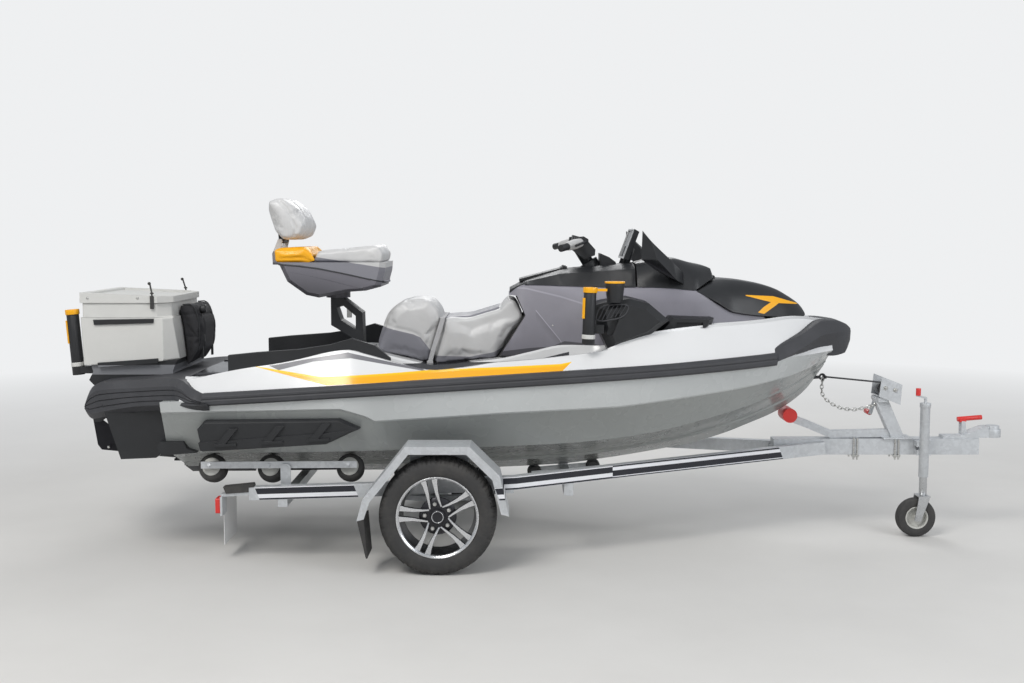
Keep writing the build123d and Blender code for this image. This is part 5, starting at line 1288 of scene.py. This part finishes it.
def side_rollers():
    """Each side roller's centre and axis."""
    for x in SIDE_ROLLERS_X:
        z, slope = roller_place(x)
        for side in (-1, 1):
            yield (x, side * SIDE_ROLLERS_Y, z), (0, side * math.cos(slope), math.sin(slope))


def keel_rollers():
    """Each keel roller's centre."""
    return [(x, 0, smooth(HULL, 2)(x) - KEEL_ROLLER_DROP) for x in KEEL_ROLLERS_X]


def build_rollers(mesh):
    """The ribbed side rollers and the waisted keel rollers."""
    for centre, axis in side_rollers():
        lathe(mesh, centre, axis, RIBS, 56)
    for centre in keel_rollers():
        lathe(mesh, centre, (0, 1, 0), KEEL_ROLLER, 40)


def build_hubs(mesh):
    """The side rollers' hubs and bolts, and the pins of all rollers."""
    for centre, axis in side_rollers():
        lathe(mesh, centre, axis, HUB, 32)
        lathe(mesh, centre, axis, [(-58, 8), (60, 8)], 20)
        bolt(mesh, [middle + 50 * part for middle, part in zip(centre, axis)], axis, 16.0, 8.0)
    for centre in keel_rollers():
        lathe(mesh, centre, (0, 1, 0), [(-56, 8), (56, 8)], 20)


joined("roller_tyres", build_rollers, "rubber", edge=0.0015, stands_for=("hull_rollers",))
joined("roller_hubs", build_hubs, "rubber", look=pale_hub, edge=0.001)


# Jockey wheel

JOCKEY = (1858.0, -96.0, 98.0)  # the wheel's centre
JOCKEY_TYRE = both_ways([
    (-24, 56), (-27, 62), (-29, 78), (-26, 91), (-15, 97), (-9, 97.8), (-8, 95), (-5, 95), (-4, 98),
])
JOCKEY_BARREL = [(-25, 57), (25, 57), (27, 55), (24, 50), (4, 44), (-4, 44), (-24, 50), (-27, 55)]


def build_jockey_rim(mesh):
    """The jockey wheel's barrel, disc, hub and five bosses."""
    lathe(mesh, JOCKEY, (0, 1, 0), JOCKEY_BARREL, 48, hollow=True)
    lathe(mesh, JOCKEY, (0, 1, 0), [(-4, 46), (4, 46)], 40)
    lathe(mesh, JOCKEY, (0, 1, 0), [(-26, 14), (26, 14)], 24)
    for number in range(5):
        turn = math.radians(72 * number)
        spot = (JOCKEY[0] + 30 * math.cos(turn), JOCKEY[1] - 4, JOCKEY[2] + 30 * math.sin(turn))
        lathe(mesh, spot, (0, 1, 0), [(-3, 8), (0, 8), (8, 8), (11, 8)], 16)


jockey_body = bodies["jockey_wheel"]
jockey_mesh = lathe(bmesh.new(), JOCKEY, (0, 1, 0), JOCKEY_TYRE, 72, hollow=True)
jockey_tyre = place("jockey_tyre", jockey_mesh, "rubber", jockey_body, stands_for=("jockey_wheel",))
soften(jockey_tyre, 0.0012, 1, 0.6)
joined("jockey_rim", build_jockey_rim, "rubber", jockey_body, pale_hub, 0.001)


# Rod holders' orange strips and pale rings, palm pads, and the display's bezel and screen

# Each tube's foot and head, and as shares of its length the strip's span and the ring's place
ROD_TUBES = (
    ((176, 545, 1014), (184, 545, 1250), (0.50, 0.90), 0.10),
    ((-2276, 250, 838), (-2298, 250, 1130), (0.52, 0.90), 0.14),
)


STRIP = ((-33, -14), (-22, -23), (-22, 23), (-33, 14))  # its corners from the tube's axis


def build_strips(mesh):
    """The orange strip on the rear side of each rod tube."""
    for low, high, span, _ in ROD_TUBES:
        for side in (-1, 1):
            loft(mesh, [[
                ((x + ahead) * MM, side * (y + out) * MM, z * MM) for ahead, out in STRIP
            ] for x, y, z in [Vector(low).lerp(Vector(high), share) for share in span]])


def build_rings(mesh):
    """The pale band near the foot of each rod tube."""
    profile = [(0, 28), (0, 29.6), (2, 31), (18, 31), (20, 29.6), (20, 28)]
    for low, high, _, share in ROD_TUBES:
        x, y, z = Vector(low).lerp(Vector(high), share)
        for side in (-1, 1):
            lathe(mesh, (x, side * y, z), Vector(high) - Vector(low), profile, 40, hollow=True)


joined("rod_strips", build_strips, "orange_plastic", edge=0.0012)
joined("rod_rings", build_rings, "cooler_grey", edge=0.0006)


def build_pads(mesh):
    """A pale palm pad on the inner half of each grip."""
    for side in (-1, 1):
        low = (155, side * 268, 1476.5)
        high = (72, side * 374, 1455)
        axis = Vector(high) - Vector(low)
        length = axis.length * 0.86
        profile = [(0, 16), (4, 21), (length * 0.4, 24), (length * 0.8, 22), (length - 4, 19.5), (length, 16)]
        lathe(mesh, low, axis, profile, 32)


joined("palm_pads", build_pads, "rubber", bodies["handlebar"], pad_grey, 0.001)


def on_display(rise, y, out):
    """A place on the display's slanting face, which looks back and up at the driver."""
    foot, head = Vector((374, 0, 1396)), Vector((428, 0, 1542))
    upward = (head - foot).normalized()
    outward = Vector((-upward.z, 0, upward.x))
    return (foot + upward * rise + outward * out + Vector((0, y, 0))) * MM


def display_slab(mesh, low_y, high_y, low, high, proud):
    """A flat bar on the display's face, from low to high up the slope."""
    corners = ((low_y, -1), (high_y, -1), (high_y, proud), (low_y, proud))
    loft(mesh, [[on_display(rise, y, out) for y, out in corners] for rise in (low, high)])


def build_bezel(mesh):
    """A silver frame round the display's screen."""
    for bar in ((-122, 122, 0, 9), (-122, 122, 146, 155), (-122, -113, 9, 146), (113, 122, 9, 146)):
        display_slab(mesh, *bar, 6)


def build_screen(mesh):
    display_slab(mesh, -104, 104, 18, 138, 1)


joined("display_bezel", build_bezel, "screen", look=silver_paint, edge=0.0012)
joined("display_screen", build_screen, "screen", look=screen_glass, edge=0.0004)


# Small fittings

def build_deck_bolts(mesh):
    """Hexagon heads on the sponsons, and one on each side of the console."""
    side_y = smooth(HULL, 5)
    for side in (-1, 1):
        for x, z in ((-1381, 618), (-1173, 634), (-968, 640)):
            bolt(mesh, (x, side * (side_y(x) - 10), z), (0, side, 0.15), 13.0, 9.0)
        bolt(mesh, (22, side * 262, 1076), (0, side, 0.3), 15.0, 6.0)


def both_sides(mesh, spots, y, profile):
    """The same small turned head at spots of x and z, at y on both sides."""
    for x, z in spots:
        for side in (-1, 1):
            lathe(mesh, (x, side * y, z), (0, side, 0), profile, 20)


def build_cooler_screws(mesh):
    """Pan heads along the cooler lid's rim."""
    both_sides(mesh, ((-2206, 1211), (-1967, 1211)), 299, [(0, 7), (1.5, 7), (3.5, 5), (4, 2)])


def build_u_bolts(mesh):
    """Clamp bolts in pairs, with their plates, that hold the winch post's foot to the drawbar."""
    for middle in (1563, 1772):
        for x in (middle - 9, middle + 9):
            for y in (-44, 44):
                tube(mesh, rounded([(x, y, 380), (x, y, 492)], rounds=1), 4.5, 10)
                bolt(mesh, (x, y, 399), (0, 0, -1), 14.0, 8.0)
        block(mesh, (middle - 18, -54, 398), (middle + 18, 54, 404))


joined("deck_bolts", build_deck_bolts, "steel", look=bolt_zinc)
joined("cooler_screws", build_cooler_screws, "steel", bodies["cooler_lid"], bolt_zinc, 0.0006)
joined("u_bolts", build_u_bolts, "steel", look=bolt_zinc)


CHAIN_PATH = [
    (1399, -4, 784), (1394, -5, 735), (1402, -6, 698), (1440, -8, 664), (1490, -10, 637), (1560, -8, 628),
    (1620, -6, 640), (1686, -4, 660),
]
LINK_PITCH = 19.0
LINK_TURNS = [2 * math.pi * step / 14 for step in range(14)]


def build_chain(mesh):
    """The safety chain's rigid links, from the bow eye to the winch post, each turned against the last."""
    path = rounded(CHAIN_PATH, rounds=3)
    gone = 0.0
    number = 0
    for low, high in zip(path, path[1:]):
        run = (high - low).length
        ahead = (high - low).normalized()
        while gone <= run:
            centre = low.lerp(high, gone / run)
            side = Vector((0, 1, 0)) if number % 2 else ahead.cross(Vector((0, 1, 0)))
            long, wide = ahead * 13.0, side * 7.5
            link = [centre + long * math.cos(turn) + wide * math.sin(turn) for turn in LINK_TURNS]
            tube(mesh, link, 2.8, 8, True)
            number += 1
            gone += LINK_PITCH
        gone -= run


joined("safety_chain", build_chain, "steel", look=bolt_zinc)


def build_winch_bolts(mesh):
    """The drum's and the gear's axle ends on the winch's side plates."""
    for x, z in ((1700, 748), (1748, 738)):
        for side in (-1, 1):
            bolt(mesh, (x, side * 70, z), (0, side, 0), 17.0, 8.0, 2.0)


joined("winch_bolts", build_winch_bolts, "steel", look=bolt_zinc)


def build_grilles(mesh):
    """Slats across the intake on the outer face of each pod."""
    for side in (-1, 1):
        for number in range(6):
            x = 222 + number * 20
            low, high = (x, side * 506, 1118 + number * 4), (x + 34, side * 506, 1186 + number * 2)
            tube(mesh, [low, high], 2.6, 8)
        rim = [(x, side * 505, z) for x, z in ((205, 1110), (345, 1132), (372, 1196), (232, 1190))]
        tube(mesh, rounded(rim, 0.4, 2, True), 4.0, 8, True)


joined("pod_grilles", build_grilles, "black_plastic", look=materials["trim_charcoal"])


# The chair's lips and levers, and the ratchet in its post

def side_strip(mesh, side, y, path, height, proud):
    """A moulded lip whose lower edge follows a path of the side view."""
    sections = []
    for x, z in path:
        corners = [(y - 4, z), (y + proud, z + 1), (y + proud, z + height - 2), (y - 4, z + height)]
        sections.append([(x * MM, side * out * MM, up * MM) for out, up in corners])
    loft(mesh, sections)


def build_chair_lips(mesh):
    """Two slanting lips along the chair's shell, on both sides, and two levers under it."""
    for side in (-1, 1):
        upper = [(-1306, 1366), (-1200, 1358), (-1112, 1346), (-980, 1320), (-861, 1293)]
        lower = [(-1262, 1332), (-1170, 1314), (-1071, 1292), (-898, 1248)]
        side_strip(mesh, side, 213, upper, 9, 5)
        side_strip(mesh, side, 211, lower, 7, 4)
    block(mesh, (-872, -205, 1262), (-812, -180, 1270))
    block(mesh, (-1142, -196, 1226), (-1112, -172, 1254))


lip_look = materials["trim_charcoal"]
joined("chair_lips", build_chair_lips, "fairing_grey", bodies["chair_shell"], lip_look, 0.0012)


def build_ratchet(mesh):
    """The adjuster in the chair post's window: a slotted plate, a pawl and its pin."""
    block(mesh, (-1006, -6, 1098), (-982, 6, 1168))
    block(mesh, (-990, -9, 1128), (-966, 9, 1142))
    lathe(mesh, (-996, -12, 1156), (0, 1, 0), [(0, 7), (24, 7)], 16)


joined("post_ratchet", build_ratchet, "steel", bodies["chair_post"], bolt_zinc, 0.001)

# Nodes whose look isn't their slot's
frame["nodes"]["chair_shell"].data.materials[0] = chair_moulding
frame["nodes"]["cooler_trim"].data.materials[0] = tray_plastic
for node in ("backrest_plate", "boarding_ladder"):
    frame["nodes"][node].data.materials[0] = dark_steel


def build_latches(mesh):
    """Rubber pull straps with a leaning handle and a ball at its tip."""
    for side in (-1, 1):
        block(mesh, (-1906, side * 302 - 4, 1160), (-1888, side * 302 + 4, 1222))
        path = [(-1897, 300, 1216), (-1898, 297, 1234), (-1903, 292, 1252), (-1909, 288, 1278)]
        tube(mesh, rounded([(x, side * y, z) for x, y, z in path]), 4.2, 10)
        lathe(mesh, (-1911, side * 287, 1274), (-0.2, 0, 1), [(0, 4), (3, 7), (7, 8), (11, 7), (14, 4)], 18)
        lathe(mesh, (-1898, side * 297, 1231), (0, 0, 1), [(0, 9), (5, 9), (8, 5)], 18)


latch_body = bodies["cooler_latches"]
joined("latch_pulls", build_latches, "rubber", latch_body, edge=0.001, stands_for=("cooler_latches",))


def build_gap_shade(mesh):
    """A black piece that stands in for the shade in the gap between the driver's seat and the console:
    painted shade.
    """
    outline = [(-258, 893), (-250, 888), (-104, 1122), (-146, 1219), (-156, 1213), (-113, 1124)]
    prism(outline, -196, 196, mesh)


# A dark piece where there is only shade in the gap: painted shade.
joined("seat_gap_shade", build_gap_shade, "rubber", edge=0.001)


def build_ladder_bolts(mesh):
    """Bright fixings on the ladder's brackets."""
    both_sides(mesh, ((-2166, 470), (-2119, 519), (-2112, 449)), 180, [(0, 7), (4, 7), (7, 5), (8, 2)])


joined("ladder_bolts", build_ladder_bolts, "steel", bodies["boarding_ladder"], bolt_zinc, 0.0006)


# Floor, light and camera

BACKDROP = (0.86, 0.87, 0.88, 1.0)
SKY_LIGHT = (0.93, 0.96, 1.0, 1.0)
SKY_STRENGTH = 0.55
FLOOR_HALF = 60.0
FLOOR_FADE = (3.2, 9.0)  # the distances from the middle between which the floor turns into backdrop


def floor():
    """A plain pale floor that keeps the craft's shadow and fades into the backdrop far away."""
    mesh = bpy.data.meshes.new("floor")
    corners = [(x * FLOOR_HALF, y * FLOOR_HALF, 0) for x, y in ((-1, -1), (1, -1), (1, 1), (-1, 1))]
    mesh.from_pydata(corners, [], [(0, 1, 2, 3)])
    piece = new_piece("floor", mesh)
    s = Shader("floor")
    cloud = s.ramp(s.noise(1.2, 5.0, 0.6), 0.3, 0.7)
    s.finish(s.mix(cloud, (0.62, 0.61, 0.59), (0.66, 0.65, 0.63)), 0.9)
    squares = s.math("ADD", s.math("MULTIPLY", s.x, s.x), s.math("MULTIPLY", s.y, s.y))
    far = s.ramp(s.math("SQRT", squares), *FLOOR_FADE)
    haze = s.add("ShaderNodeEmission")
    haze.inputs["Color"].default_value = BACKDROP
    rays = s.add("ShaderNodeLightPath")
    blend = s.add("ShaderNodeMixShader")
    s.put(s.math("MULTIPLY", far, rays.outputs["Is Camera Ray"]), blend.inputs[0])
    s.link(s.surface.outputs[0], blend.inputs[1])
    s.link(haze.outputs[0], blend.inputs[2])
    output = [node for node in s.tree.nodes if node.type == "OUTPUT_MATERIAL"][0]
    s.link(blend.outputs[0], output.inputs[0])
    mesh.materials.append(s.material)


def world():
    """Soft light from all round. The camera and what it sees through glass get the pale backdrop."""
    sky = bpy.data.worlds.new("studio")
    scene.world = sky
    sky.use_nodes = True
    nodes, links = sky.node_tree.nodes, sky.node_tree.links
    nodes.clear()
    rays = nodes.new("ShaderNodeLightPath")
    seen = nodes.new("ShaderNodeMath")
    seen.operation = "MAXIMUM"
    links.new(rays.outputs["Is Camera Ray"], seen.inputs[0])
    links.new(rays.outputs["Is Transmission Ray"], seen.inputs[1])
    blend = nodes.new("ShaderNodeMixShader")
    links.new(seen.outputs[0], blend.inputs[0])
    for color, strength, socket in ((SKY_LIGHT, SKY_STRENGTH, 1), (BACKDROP, 1.0, 2)):
        light = nodes.new("ShaderNodeBackground")
        light.inputs[0].default_value = color
        light.inputs[1].default_value = strength
        links.new(light.outputs[0], blend.inputs[socket])
    output = nodes.new("ShaderNodeOutputWorld")
    links.new(blend.outputs[0], output.inputs[0])


def lamp(name, spot, target, size, watts, color=(1.0, 1.0, 1.0)):
    """A square area lamp at a spot, turned to its target."""
    data = bpy.data.lights.new(name, "AREA")
    data.size = size
    data.energy = watts
    data.color = color
    piece = new_piece(name, data)
    piece.location = spot
    piece.rotation_euler = (Vector(target) - Vector(spot)).to_track_quat("-Z", "Y").to_euler()


CAMERA_SPOT = (-0.174, -6.0, 1.518)
CAMERA_DOWN = math.radians(5.16)
FOCAL_PIXELS = 1192.0
PHOTO_WIDTH = 1024.0


def camera():
    """The photograph's viewing angle."""
    data = bpy.data.cameras.new("camera")
    data.sensor_width = 36.0
    data.lens = FOCAL_PIXELS / PHOTO_WIDTH * data.sensor_width
    piece = new_piece("camera", data)
    piece.location = CAMERA_SPOT
    piece.rotation_euler = (math.pi / 2 - CAMERA_DOWN, 0.0, 0.0)
    scene.camera = piece


floor()
world()
lamp("key", (-3.0, -5.0, 6.5), (0, 0, 0.6), 3.0, 330.0, (1.0, 0.98, 0.95))
lamp("fill", (5.0, -4.5, 3.5), (0.3, 0, 0.6), 3.5, 130.0, (0.95, 0.97, 1.0))
lamp("back", (0.0, 5.5, 4.5), (0, 0, 0.8), 3.0, 120.0)
camera()
